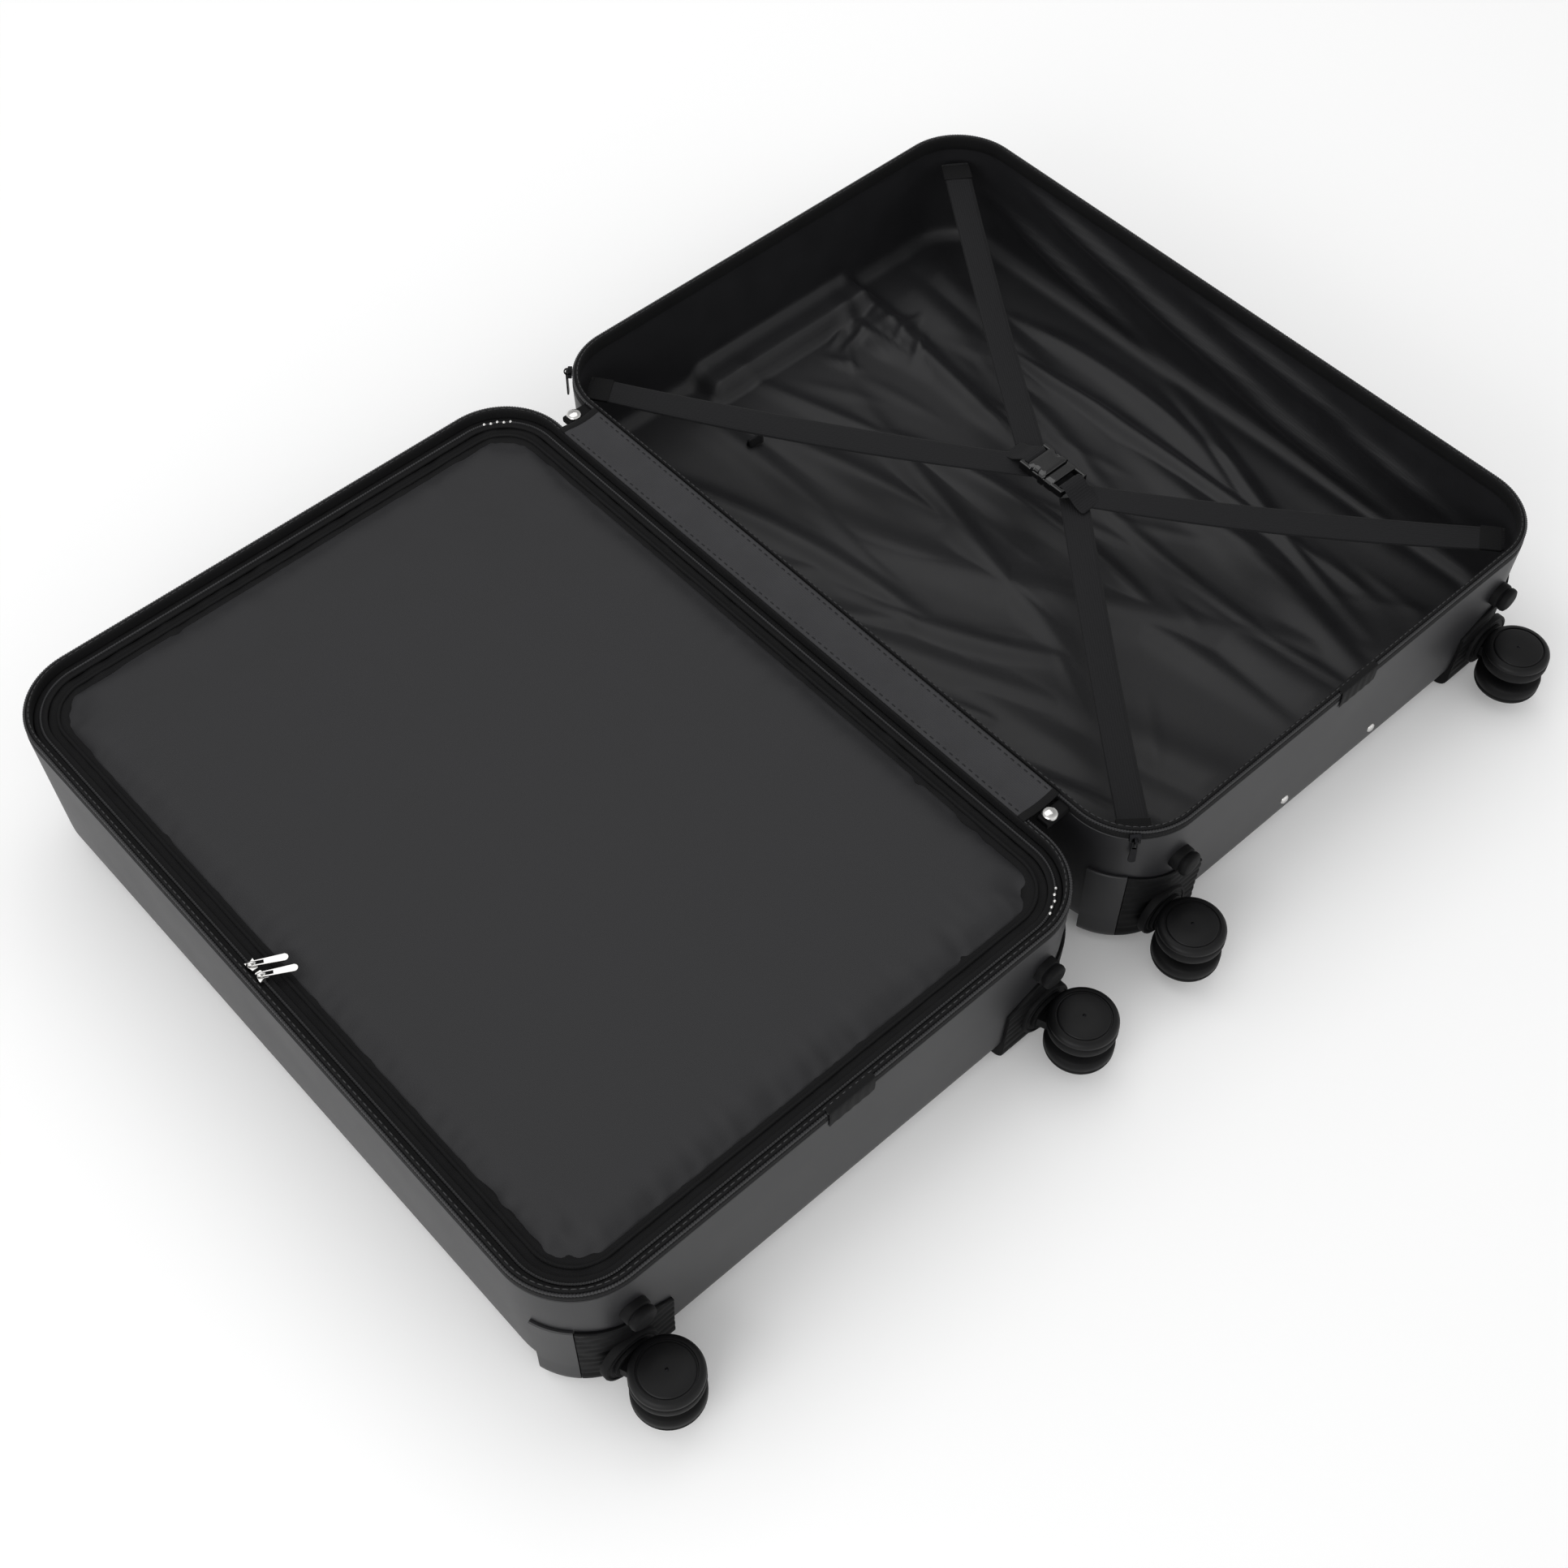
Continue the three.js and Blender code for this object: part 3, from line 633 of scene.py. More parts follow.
class SUITCASE_OT_linings(bpy.types.Operator):
    """Builds the satin linings: smooth walls, and a loose floor that lies in folds."""

    bl_idname = "suitcase.linings"
    bl_label = "Linings"

    def execute(self, context):
        depth = context.scene.suitcase_sizes.fold_depth
        self.build("back", BACK_FLOOR, 14 * MM, depth, 30)
        self.build("front", FRONT_FLOOR, 29 * MM, depth * 0.5, 22)
        self.tab()
        return {"FINISHED"}

    def build(self, half, floor, fillet, depth, count):
        """One half's lining: walls, a rounded foot and a floor of rings about the middle."""
        path = outline(5 * MM)
        centre = np.array(CENTRES[half][:2])
        top = RIM - 4 * MM
        offset = 3.6 * MM
        heights = np.linspace(top, floor + fillet, 20)
        rows = [ring(half, path, inset_at(height) + offset, height) for height in heights]
        foot = inset_at(floor + fillet) + offset
        for angle in np.linspace(0, math.pi / 2, 7)[1:]:
            inset = foot + fillet * (1 - math.cos(angle))
            rows.append(ring(half, path, inset, floor + fillet * (1 - math.sin(angle))))
        edge = rows[-1]
        for share in np.linspace(1, 0.004, 100)[1:]:
            inner = np.array(edge)
            inner[:, :2] = centre + share * (edge[:, :2] - centre)
            rows.append(inner)
        points, faces = skin(rows)
        points = np.vstack([points, rows[-1].mean(0)])
        hub, last = len(points) - 1, (len(rows) - 1) * len(edge)
        faces += [(last + i, last + (i + 1) % len(edge), hub) for i in range(len(edge))]
        self.crumple(points, half, floor, depth, count)
        made = piece(f"{half}_lining_satin", points, faces, "lining", BODIES[half])
        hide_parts(f"{half}_lining")

    def crumple(self, points, half, floor, depth, count):
        """Moves the floor up into folds that die away towards the walls, and slackens the walls."""
        plan = points[:, :2] - np.array(CENTRES[half][:2])
        height = points[:, 2] - floor
        in_x = WIDTH / 2 - 12 * MM - np.abs(plan[:, 0])
        in_y = LENGTH / 2 - 12 * MM - np.abs(plan[:, 1])
        calm = np.clip(np.minimum(in_x, in_y) / (45 * MM), 0.12, 1)
        low = np.clip(1 - height / (40 * MM), 0, 1)
        points[:, 2] += floor_folds(plan, len(half) * 5, count, depth) * calm * low
        if half == "back":
            points[:, 2] += self.ledge(plan) * low
            self.slacken_far_wall(points, plan, floor)

    def slacken_far_wall(self, points, plan, floor):
        """Long slanting folds where the satin hangs loose on the wall opposite the hinge."""
        on_wall = (plan[:, 0] > WIDTH / 2 - 26 * MM) & (points[:, 2] > floor)
        wall = np.column_stack([points[:, 2], plan[:, 1]])[on_wall]
        swell = np.zeros(len(wall))
        for high, y, tilt, long, wide, deep in (
            (112, 150, 10, 170, 9, 8), (92, 40, 9, 220, 10, 9), (70, 190, 12, 150, 9, 8),
            (66, -90, 8, 220, 11, 8), (118, -60, 7, 180, 8, 6), (96, -190, 8, 120, 9, 6),
        ):
            middle = (high * MM, y * MM)
            swell = np.maximum(swell, ridge(wall, middle, tilt, long * MM, wide * MM, deep * MM))
        fixed = smooth_step((RIM - 6 * MM - wall[:, 0]) / (16 * MM))
        points[on_wall, 0] -= swell * fixed

    def ledge(self, plan):
        """The raised cover over the handle's cup at the handle end, crumpled at its far end."""
        low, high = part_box("trolley_cup")
        centre = CENTRES["back"]
        x, y = plan[:, 0] + centre.x, plan[:, 1] + centre.y
        side = np.minimum(x - (low.x - 30 * MM), high.x + 40 * MM - x) / (18 * MM)
        front = (y - low.y + 6 * MM) / (15 * MM)
        rise = smooth_step(side) * smooth_step(front) * 15 * MM
        random = np.random.default_rng(4)
        for number in range(9):
            middle = (random.uniform(20, 110) * MM, random.uniform(215, 300) * MM)
            rise += ridge(plan, middle, random.uniform(-80, 80), 30 * MM, 4.5 * MM, 3 * MM)
        return rise

    def tab(self):
        """The small folded tab sewn to the floor near the hinge side."""
        x, y = SHELL_LOW.x + 149 * MM, SHELL_LOW.y + 590 * MM
        rows = []
        for angle in np.linspace(0, math.pi, 13):
            rows.append(np.array([
                (
                    x + side * 8 * MM, y - 3 * MM * math.cos(angle),
                    BACK_FLOOR + 4 * MM + 11 * MM * math.sin(angle),
                )
                for side in np.linspace(-1, 1, 7)
            ]))
        points, faces = skin(rows, around=False)
        made = piece("lining_tab", points, faces, "strap", "base")
        thicken(made, 1.2 * MM)


# ---- zips ----
def coil_ring(name, half, inset, height, body):
    """A nylon coil round a half: a tube whose turns show as ridges."""
    sizes = bpy.context.scene.suitcase_sizes
    path = outline(sizes.coil_pitch / 2)
    count = len(path[0])
    swell = np.where(np.arange(count) % 2, 1.0, 0.68) * sizes.coil_width / 2
    rows = [
        ring(half, path, inset + swell * math.cos(angle), height + swell * math.sin(angle))
        for angle in np.linspace(0, 2 * math.pi, 8, endpoint=False)
    ]
    points, faces = skin(rows, closed=True)
    return piece(name, points, faces, "coil", body, flat=True)


class SUITCASE_OT_zips(bpy.types.Operator):
    """Builds the tapes and coils of the main zip and the divider's zip."""

    bl_idname = "suitcase.zips"
    bl_label = "Zips"

    def execute(self, context):
        path = outline(OUTLINE_STEP)
        for half in ("back", "front"):
            made = self.tape(f"{half}_tape_woven", half, path, self.rim_profile(), BODIES[half])
            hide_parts(f"{half}_zipper_tape")
            coil_ring(f"{half}_zip_coil", half, 1.5 * MM, RIM + 7.6 * MM, BODIES[half])
            self.stitches(half)
            self.splice(half)
        low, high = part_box("divider_zipper_tape")
        made = self.tape("divider_tape_woven", "front", path, self.divider_profile(low.z, high.z), "front")
        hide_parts("divider_zipper_tape")
        coil_ring("divider_zip_coil", "front", 12 * MM, high.z - 0.2 * MM, "front")
        self.zip_ends(high.z)
        return {"FINISHED"}

    def rim_profile(self):
        """Section of the folded tape: outer face, rounded top, and the inside that meets the lining."""
        top = TAPE_TOP
        return [
            (0.9, RIM + 0.1 * MM), (0.5, RIM + 1 * MM), (0.4, RIM + 5.8 * MM), (1.2, RIM + 6.6 * MM),
            (2.6, RIM + 7.4 * MM), (3.1, top - 0.8 * MM), (3.7, top - 0.1 * MM), (4.7, top),
            (5.6, top - 0.3 * MM), (6.2, top - 1.2 * MM), (6.4, top - 4 * MM), (6.2, RIM),
            (5.4, RIM - 5 * MM), (4.7, RIM - 5.4 * MM), (3.4, RIM - 4.6 * MM), (3.1, RIM - 0.5 * MM),
        ]

    def divider_profile(self, low, high):
        """Section of the divider's tape: two flat bands with a groove for the coil."""
        return [
            (6.9, low), (6.8, high - 0.5 * MM), (8, high), (10.2, high - 0.2 * MM), (12, high - 0.7 * MM),
            (13.8, high - 0.2 * MM), (16.4, high), (17.3, high - 0.6 * MM), (17.2, low),
        ]

    def tape(self, name, half, path, profile, body):
        """A tape round a half from (inset in millimetres, height) pairs."""
        rows = [ring(half, path, inset * MM, height) for inset, height in profile]
        points, faces = skin(rows, closed=True)
        return piece(name, points, faces, "tape", body)

    def stitches(self, half):
        """One row of raised stitches along the top of the tape, 4 mm long and 2 mm apart."""
        skeleton, normals = outline(6 * MM)
        centre = np.array(CENTRES[half][:2])
        spots = []
        for base, normal in zip(skeleton, normals):
            along = np.array((-normal[1], normal[0]))
            middle = centre + base + (CORNER - 4.9 * MM) * normal
            for end, rise in ((-2, 0.0), (-1.2, 0.32), (1.2, 0.32), (2, 0.0)):
                for side in (-0.35, 0.35):
                    spot = middle + along * end * MM + normal * side * MM
                    spots.append((*spot, TAPE_TOP - 0.05 * MM + rise * MM))
        points, faces = stitch_row(spots)
        piece(f"{half}_tape_stitches", points, faces, "coil", BODIES[half])

    def splice(self, half):
        """The patch that covers the joint in the tape at the middle of the wheel end."""
        centre = CENTRES[half]
        rim_y = centre.y - LENGTH / 2
        section = [
            (7.2, -2.5), (6.9, -0.5), (5.6, 0.3), (2.8, 0.35), (0.4, 0.3), (-0.7, -0.6), (-1.1, -3),
            (-1.2, -9), (-1.0, -14), (-0.8, -19),
        ]
        rows = []
        for x in np.linspace(-22, 22, 23) * MM:
            sag = 0.25 * MM * math.sin(x * 700)
            rows.append(np.array([
                (centre.x + x, rim_y + inset * MM + sag * (z < -2), HINGE.z - 0.5 * MM + z * MM)
                for inset, z in section
            ]))
        points, faces = skin(rows, around=False)
        made = piece(f"{half}_tape_splice", points, faces, "tape", BODIES[half])
        thicken(made, 0.7 * MM)
        refine(made, 2)

    def zip_ends(self, top):
        """The metal stops at the two ends of the divider's zip: short rows of crimped studs."""
        centre = CENTRES["front"]
        dome = lathe([(r * MM, h * MM) for r, h in ((0.1, 1.5), (1.0, 1.3), (1.7, 0.5), (1.8, -0.6))], 16)
        for name, end in (("wheel", -1), ("handle", 1)):
            arc = Vector((centre.x + WIDTH / 2 - CORNER, centre.y + end * (LENGTH / 2 - CORNER)))
            blocks = []
            for number in range(5):
                angle = end * (44 + 6.5 * number) * DEGREE
                reach = CORNER - (11.4 + 0.9 * (number % 2)) * MM
                spot = np.array((arc.x + reach * math.cos(angle), arc.y + reach * math.sin(angle), top))
                points, faces = skin(dome, caps=True)
                blocks.append((points + spot, faces))
            points, faces = merged(blocks)
            piece(f"divider_zip_stop_{name}", points, faces, "nickel", "front")


# ---- divider ----
class SUITCASE_OT_divider(bpy.types.Operator):
    """Builds the padded divider: a thin foam pad whose cover puckers along the seam."""

    bl_idname = "suitcase.divider"
    bl_label = "Divider"

    def execute(self, context):
        swell = context.scene.suitcase_sizes.pad_swell
        # The panel's edge, counted from the rim's outline.
        self.edge = CENTRES["front"].x + WIDTH / 2 - DIVIDER_HIGH.x
        pad = self.blank()
        self.inflate(pad, swell)
        self.pucker(pad)
        refine(pad, 1)
        settled(pad)
        shade_smooth(pad)
        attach(pad, "divider")
        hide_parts("divider_panel")
        self.flange()
        self.piping()
        return {"FINISHED"}

    def blank(self):
        """A flat pad, a little smaller than the CAD panel, in a mesh of even squares."""
        path = outline(6 * MM)
        low, high = DIVIDER_LOW.z + 1.5 * MM, DIVIDER_HIGH.z - 2.6 * MM
        rows = [
            ring("front", path, self.edge + inset * MM, height)
            for inset, height in ((4, low), (0.6, low + 1.6 * MM), (0.6, high - 1.6 * MM), (4, high))
        ]
        points, faces = skin(rows, caps=True)
        pad = piece("divider_pad_woven", points, faces, "panel", None)
        remesh = pad.modifiers.new("even squares", "REMESH")
        remesh.mode = "VOXEL"
        remesh.voxel_size = 5 * MM
        settled(pad)
        pad.data.materials.clear()
        pad.data.materials.append(finish("panel"))
        return pad

    def inside(self, points):
        """How far each point is inside the panel's edge."""
        half = np.array(((DIVIDER_HIGH.x - DIVIDER_LOW.x) / 2, (DIVIDER_HIGH.y - DIVIDER_LOW.y) / 2))
        radius = CORNER - self.edge
        reach = np.abs(points[:, :2] - np.array(CENTRES["front"][:2])) - half + radius
        at_corner = np.all(reach > 0, axis=1)
        return radius - np.where(at_corner, np.hypot(reach[:, 0], reach[:, 1]), reach.max(1))

    def crown(self, pad, swell):
        """The pad's shape without simulation."""
        points = points_of(pad)
        lift = swell * np.sqrt(np.clip(self.inside(points) / (45 * MM), 0, 1)) * 0.6
        above = points[:, 2] > (DIVIDER_LOW.z + DIVIDER_HIGH.z) / 2
        points[:, 2] += np.where(above, lift, -0.4 * lift)
        move_points(pad, points)

    def inflate(self, pad, swell):
        """Fills the pad with Cloth under pressure, then limits how far each point moved."""
        scene = bpy.context.scene
        rest = points_of(pad)
        cloth = pad.modifiers.new("filled", "CLOTH")
        settings = cloth.settings
        settings.quality = 4
        settings.mass = 0.25
        settings.tension_stiffness = 18
        settings.compression_stiffness = 18
        settings.shear_stiffness = 6
        settings.bending_stiffness = 0.6
        settings.use_pressure = True
        settings.uniform_pressure_force = 4
        settings.effector_weights.gravity = 0
        cloth.collision_settings.use_collision = False
        cloth.collision_settings.use_self_collision = False
        frames = 20
        cloth.point_cache.frame_end = frames
        for number in range(1, frames + 1):
            scene.frame_set(number)
        shown = pad.evaluated_get(bpy.context.evaluated_depsgraph_get())
        moved = points_of(shown) - rest
        far = np.linalg.norm(moved, axis=1, keepdims=True)
        moved *= np.minimum(1, swell / np.maximum(far, 1e-9))
        pad.modifiers.remove(cloth)
        scene.frame_set(1)
        moved[:, :2] *= 0.35
        result = rest + moved
        result[:, 2] = np.clip(result[:, 2], DIVIDER_LOW.z - 1 * MM, DIVIDER_HIGH.z + 2 * MM)
        move_points(pad, result)

    def pucker(self, pad):
        """Rolls the top down to the seam, with gathers at right angles to it and slow waves."""
        points = points_of(pad)
        depth = np.maximum(self.inside(points), 0)
        plan = points[:, :2] - np.array(CENTRES["front"][:2])
        for number in np.flatnonzero(points[:, 2] > (DIVIDER_LOW.z + DIVIDER_HIGH.z) / 2):
            (x, y), near = plan[number], depth[number]
            on_side = abs(x) / WIDTH > abs(y) / LENGTH
            along = y if on_side else x
            # The wheel end is gathered most, and the handle end least.
            pull = 1.0 if on_side else 1.7 if y < 0 else 0.6
            reach = 26 * MM * (1 + 0.9 * noise.noise(Vector((along * 22, on_side * 7.0, 2.0))))
            fade = math.exp(-((near / reach) ** 2)) * min(1.0, near / (4 * MM))
            gather = noise.noise(Vector((along / (9 * MM), near / (50 * MM), on_side * 9.0)))
            wave = noise.noise(Vector((x * 5.5, y * 4.2, 4.0))) * min(1.0, near / (60 * MM))
            roll = max(0.0, 1 - near / (30 * MM)) ** 2
            points[number, 2] += (fade * gather * 2.6 * pull + wave * 1.2 - 4.2 * roll) * MM
        move_points(pad, points)

    def section(self, name, profile, material, ripple):
        """A ring of cloth round the pad from (inset, height) pairs in millimetres."""
        path = outline(OUTLINE_STEP)
        centre = np.array(CENTRES["front"][:2])
        rows = []
        for inset, height in profile:
            row = ring("front", path, self.edge + inset * MM, DIVIDER_HIGH.z + height * MM)
            waves = [noise.noise(Vector((*(point[:2] - centre) * 75, 3.0))) for point in row]
            row[:, 2] += np.array(waves) * ripple * MM
            rows.append(row)
        points, faces = skin(rows, closed=True)
        piece(name, points, faces, material, "divider")

    def flange(self):
        """The cover's thin edge, sewn to the zip and drawn down between the pad and the tape, in darker
        cloth as painted shade.
        """
        profile = [
            (12, -6.4), (5, -5.4), (0, -4.6), (-3, -5.2), (-6, -5.3), (-7.6, -4.4),
            (-7.6, -5.2), (-6, -6.1), (-3, -6.1), (0, -6), (5, -6.6), (12, -7.4),
        ]
        # The cover's edge wears the darker tape cloth instead of the pad's: painted shade for the shadow
        # where the pad rolls down into the zip.
        self.section("divider_flange", profile, "tape", 1.1)

    def piping(self):
        """The bound seam round the pad."""
        turns = np.linspace(0, 2 * math.pi, 8, endpoint=False)
        profile = [(0.2 + 1.5 * math.cos(a), -4.2 + 1.5 * math.sin(a)) for a in turns]
        self.section("divider_piping", profile, "tape", 0.3)


# ---- hinge web ----
class SUITCASE_OT_hinge(bpy.types.Operator):
    """Builds the woven strip that joins the halves, its bound ends, and the hinge studs."""

    bl_idname = "suitcase.hinge"
    bl_label = "Hinge web"

    def execute(self, context):
        low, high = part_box("hinge_web")
        left, right = HINGE.x - 21 * MM, HINGE.x + 16.4 * MM
        rows = [
            np.array([(x, y, self.height(x, y)) for x in np.linspace(left, right, 26)])
            for y in np.linspace(low.y, high.y, 130)
        ]
        points, faces = skin(rows, around=False)
        web = piece("hinge_web_woven", points, faces, "web", None)
        thicken(web, 1.1 * MM)
        settled(web)
        shade_smooth(web)
        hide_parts("hinge_web")
        self.hang(web)
        for name, y, end in (("wheel", low.y, -1), ("handle", high.y, 1)):
            self.binding(name, y, left, right)
            self.stud(name, y + end * 10.5 * MM)
        self.seams(low.y, high.y, left, right)
        return {"FINISHED"}

    def height(self, x, y):
        """The web sags a little between the rims and has a slow wave along it."""
        across = (x - HINGE.x) / (15.8 * MM)
        dip = 2.2 * MM * max(0.0, 1 - across * across)
        wave = 0.5 * MM * noise.noise(Vector((x * 40, y * 14, 0.5)))
        return HINGE.z + 0.9 * MM - dip + wave

    def hang(self, made):
        """Bakes a piece of the web's placement into its mesh; it rides on no body."""
        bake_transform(made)

    def binding(self, name, y, left, right):
        """The web's end, folded under and bound."""
        fold = (
            (-3.5, 0.3), (0, 0.45), (2.6, 0.2), (3.2, -0.5),
            (2.6, -1.6), (0, -1.8), (-3.5, -1.7), (-4, -0.5),
        )
        rows = []
        for x in np.linspace(left - 0.4 * MM, right + 0.3 * MM, 26):
            top = self.height(x, y)
            rows.append(np.array([(x, y + reach * MM, top + rise * MM) for reach, rise in fold]))
        points, faces = skin(rows, caps=True)
        self.hang(piece(f"hinge_binding_{name}", points, faces, "tape", None))

    def stud(self, name, y):
        """A bright domed stud on the hinge line, held by a lug on the back half."""
        points, faces = box_points(
            (HINGE.x - 8 * MM, y - 6 * MM, HINGE.z - 10 * MM),
            (HINGE.x + 17 * MM, y + 6 * MM, HINGE.z - 4 * MM),
        )
        lug = piece(f"hinge_lug_{name}", points, faces, "fitting", "base", flat=True)
        soften(lug, 1.5 * MM)
        dome = [(0.2, 2.4), (2.4, 2.2), (4.6, 1.5), (6.2, 0.4), (6.7, -0.8), (6.5, -1.6), (5, -1.8)]
        rows = lathe([(r * MM, h * MM) for r, h in dome], 32)
        points, faces = skin(rows, caps=True)
        points += np.array((HINGE.x + 0.5 * MM, y, HINGE.z - 2.4 * MM))
        piece(f"hinge_stud_{name}", points, faces, "nickel", "base")

    def seams(self, start, stop, left, right):
        """Rows of lock stitches near both long edges, 4 mm long and 3 mm apart."""
        pitch = 7 * MM
        for name, x in (("front", left + 3.2 * MM), ("back", right - 3 * MM)):
            spots = []
            for y in np.arange(start + pitch, stop - pitch, pitch):
                for end, rise in ((-2, 0), (-1.2, 0.4), (1.2, 0.4), (2, 0)):
                    for side in (-0.4, 0.4):
                        spot = y + end * MM
                        spots.append((x + side * MM, spot, self.height(x, spot) + (rise - 0.05) * MM))
            points, faces = stitch_row(spots)
            self.hang(piece(f"hinge_stitches_{name}", points, faces, "strap", None))


# ---- zip sliders ----
class SUITCASE_OT_sliders(bpy.types.Operator):
    """Finishes the sliders and pull tabs and adds the bridge that holds each tab."""

    bl_idname = "suitcase.sliders"
    bl_label = "Sliders"

    def execute(self, context):
        kinds = (("divider", "nickel", "zip_metal"), ("main", "gunmetal", "dark_zip_metal"))
        for kind, material, slot in kinds:
            for number in (1, 2):
                dress(f"{kind}_slider_{number}", material, 0.7 * MM, 3)
                dress(f"{kind}_pull_{number}", material, 0.35 * MM, 3)
                self.bridge(kind, number, material, slot)
        return {"FINISHED"}

    def bridge(self, kind, number, material, slot):
        """An arch over the pull's pivot."""
        pivot = Vector(JOINTS[f"{kind}_pull_{number}_swing"]["pos_m"])
        axis = Vector(JOINTS[f"{kind}_pull_{number}_swing"]["axis"]).normalized()
        middle = sum(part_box(f"{kind}_slider_{number}"), Vector()) / 2
        out = pivot - middle
        out = (out - out.project(axis)).normalized()
        along = axis.cross(out).normalized()
        foot = pivot - out * 0.9 * MM
        rows = []
        for angle in np.linspace(-0.1, math.pi + 0.1, 15):
            spot = foot + along * math.cos(angle) * 3.4 * MM + out * math.sin(angle) * 2.9 * MM
            radial = (along * math.cos(angle) + out * math.sin(angle)).normalized()
            rows.append(np.array([
                spot + axis * math.cos(turn) * 1.1 * MM + radial * math.sin(turn) * 0.6 * MM
                for turn in np.linspace(0, 2 * math.pi, 10, endpoint=False)
            ]))
        points, faces = skin(rows, caps=True)
        body = f"divider_slider_{number}" if kind == "divider" else "base"
        piece(f"{kind}_slider_bridge_{number}", points, faces, material, body)


# ---- packing straps ----
STRAP_THICKNESS = 1.3 * MM
# One diagonal passes under the other: its two straps dip below this height in the CAD.
STRAP_LEVEL = 99 * MM


class SUITCASE_OT_straps(bpy.types.Operator):
    """Builds the four elastic straps, their corner anchors and the buckle."""

    bl_idname = "suitcase.straps"
    bl_label = "Straps and buckle"

    def execute(self, context):
        low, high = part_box("buckle_socket")
        self.half = (high.x - low.x) / 2 / MM
        self.origin = Vector(((low.x + high.x) / 2, low.y - 0.3 * MM, (low.z + high.z) / 2))
        for end, sign in (("handle", 1), ("wheel", -1)):
            for side, lean in (("inner", -1), ("outer", 1)):
                node = f"strap_{end}_end_{side}"
                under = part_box(node)[0].z < STRAP_LEVEL
                start = self.origin + Vector((lean * 1.5, sign * 24, -12.2 if under else -9.6)) * MM
                anchor = Vector((
                    CENTRES["back"].x + lean * (WIDTH / 2 - 30 * MM),
                    CENTRES["back"].y + sign * (LENGTH / 2 - 24 * MM), 127 * MM,
                ))
                self.strap(node, start, anchor)
            self.loop_of(end, sign)
        self.socket()
        self.plug()
        return {"FINISHED"}

    def strap(self, node, start, anchor):
        """Flat webbing that sags a little, with a turned-back, stitched end at the corner."""
        half = bpy.context.scene.suitcase_sizes.strap_width / 2
        run = anchor - start
        length = run.length
        across = Vector((0, 0, 1)).cross(run).normalized()
        up = run.normalized().cross(across)
        place = Matrix((run.normalized(), across, up)).transposed().to_4x4()
        place.translation = start
        rows = []
        for t in np.linspace(0, 1, 60):
            sag = -7 * MM * 4 * t * (1 - t)
            twist = 0.16 * math.sin(t * math.pi) * (1 if anchor.x > start.x else -1)
            rows.append(np.array([
                (t * length, s * half, sag + s * half * twist + 0.5 * MM * (1 - s * s))
                for s in np.linspace(-1, 1, 9)
            ]))
        points, faces = skin(rows, around=False)
        made = piece(f"{node}_webbing", points, faces, "strap", None)
        thicken(made, STRAP_THICKNESS)
        made.matrix_world = place
        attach(made, "base")
        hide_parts(node)
        points, faces = box_points(
            (length - 20 * MM, -half - 1 * MM, -1.2 * MM), (length - 2 * MM, half + 1 * MM, 1.7 * MM),
        )
        patch = piece(f"{node}_anchor", points, faces, "tape", None, flat=True)
        patch.matrix_world = place
        soften(patch, 0.8 * MM)
        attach(patch, "base")

    def loop_of(self, end, sign):
        """The webbing folded over the buckle's bar, where the two straps are sewn together."""
        half = bpy.context.scene.suitcase_sizes.strap_width / 2 - 0.5 * MM
        bar = 25.5 if sign > 0 else 17.5
        path = [
            (bar - 4 * math.cos(angle), -0.4 + 4.6 * math.sin(angle))
            for angle in np.linspace(-math.pi / 2, math.pi / 2, 11)
        ]
        path += [(bar + 5, 3.2), (bar + 11, -2), (bar + 18, -7), (bar + 27, -8.2)]
        rows = [
            np.array([
                self.origin + Vector((side * half, sign * reach * MM, height * MM))
                for side in np.linspace(-1, 1, 9)
            ])
            for reach, height in path
        ]
        points, faces = skin(rows, around=False)
        body = "base" if end == "handle" else "buckle_plug"
        made = piece(f"strap_{end}_end_loop", points, faces, "strap", body)
        thicken(made, STRAP_THICKNESS)
        refine(made, 1)

    def moulded(self, name, rows, body, edge):
        """A moulded piece from rows of (across, along, up) points in millimetres."""
        rows = [np.array([self.origin + Vector(point) * MM for point in row]) for row in rows]
        points, faces = skin(rows, caps=True)
        made = piece(name, points, faces, "gloss", body, flat=True)
        return soften(made, edge * MM, 4)

    def bars(self, name, spans, body):
        """Cross-bars and cheeks, each a rounded block given as spans in millimetres."""
        for number, (x0, x1, y0, y1, z0, z1) in enumerate(spans, 1):
            rows = [[(x0, y0, z), (x1, y0, z), (x1, y1, z), (x0, y1, z)] for z in (z0, z1)]
            self.moulded(f"{name}_{number}", rows, body, 1.1)

    def crowned(self, shape, low, high):
        """An outline drawn up into a shallow crown."""
        middle = sum(y for x, y in shape) / len(shape)
        return [
            [(x * share, middle + (y - middle) * share, z) for x, y in shape]
            for share, z in ((0.97, low), (1, low + 2), (1, high - 2.6), (0.9, high - 0.6), (0.66, high))
        ]

    def socket(self):
        """The hollow half: a crowned body with a window for each prong, and a bar for the strap."""
        h = self.half
        shape = [
            (-h, 1.5), (-h, 6.5), (-h + 2.4, 9), (-h + 2.4, 14), (-h, 17), (-h + 0.5, 20.5), (-h + 4, 22),
            (h - 4, 22), (h - 0.5, 20.5), (h, 17), (h - 2.4, 14), (h - 2.4, 9), (h, 6.5), (h, 1.5),
            (h - 3, 0.4), (3 - h, 0.4),
        ]
        made = self.moulded("buckle_socket_moulded", self.crowned(shape, -5.6, 6), "base", 0.5)
        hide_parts("buckle_socket")
        spans = [
            (-h, 4 - h, 17, 29, -4.5, 4.5),
            (h - 4, h, 17, 29, -4.5, 4.5),
            (1 - h, h - 1, 25.6, 29, -3.4, 3.4),
        ]
        self.bars("buckle_socket_frame", spans, "base")

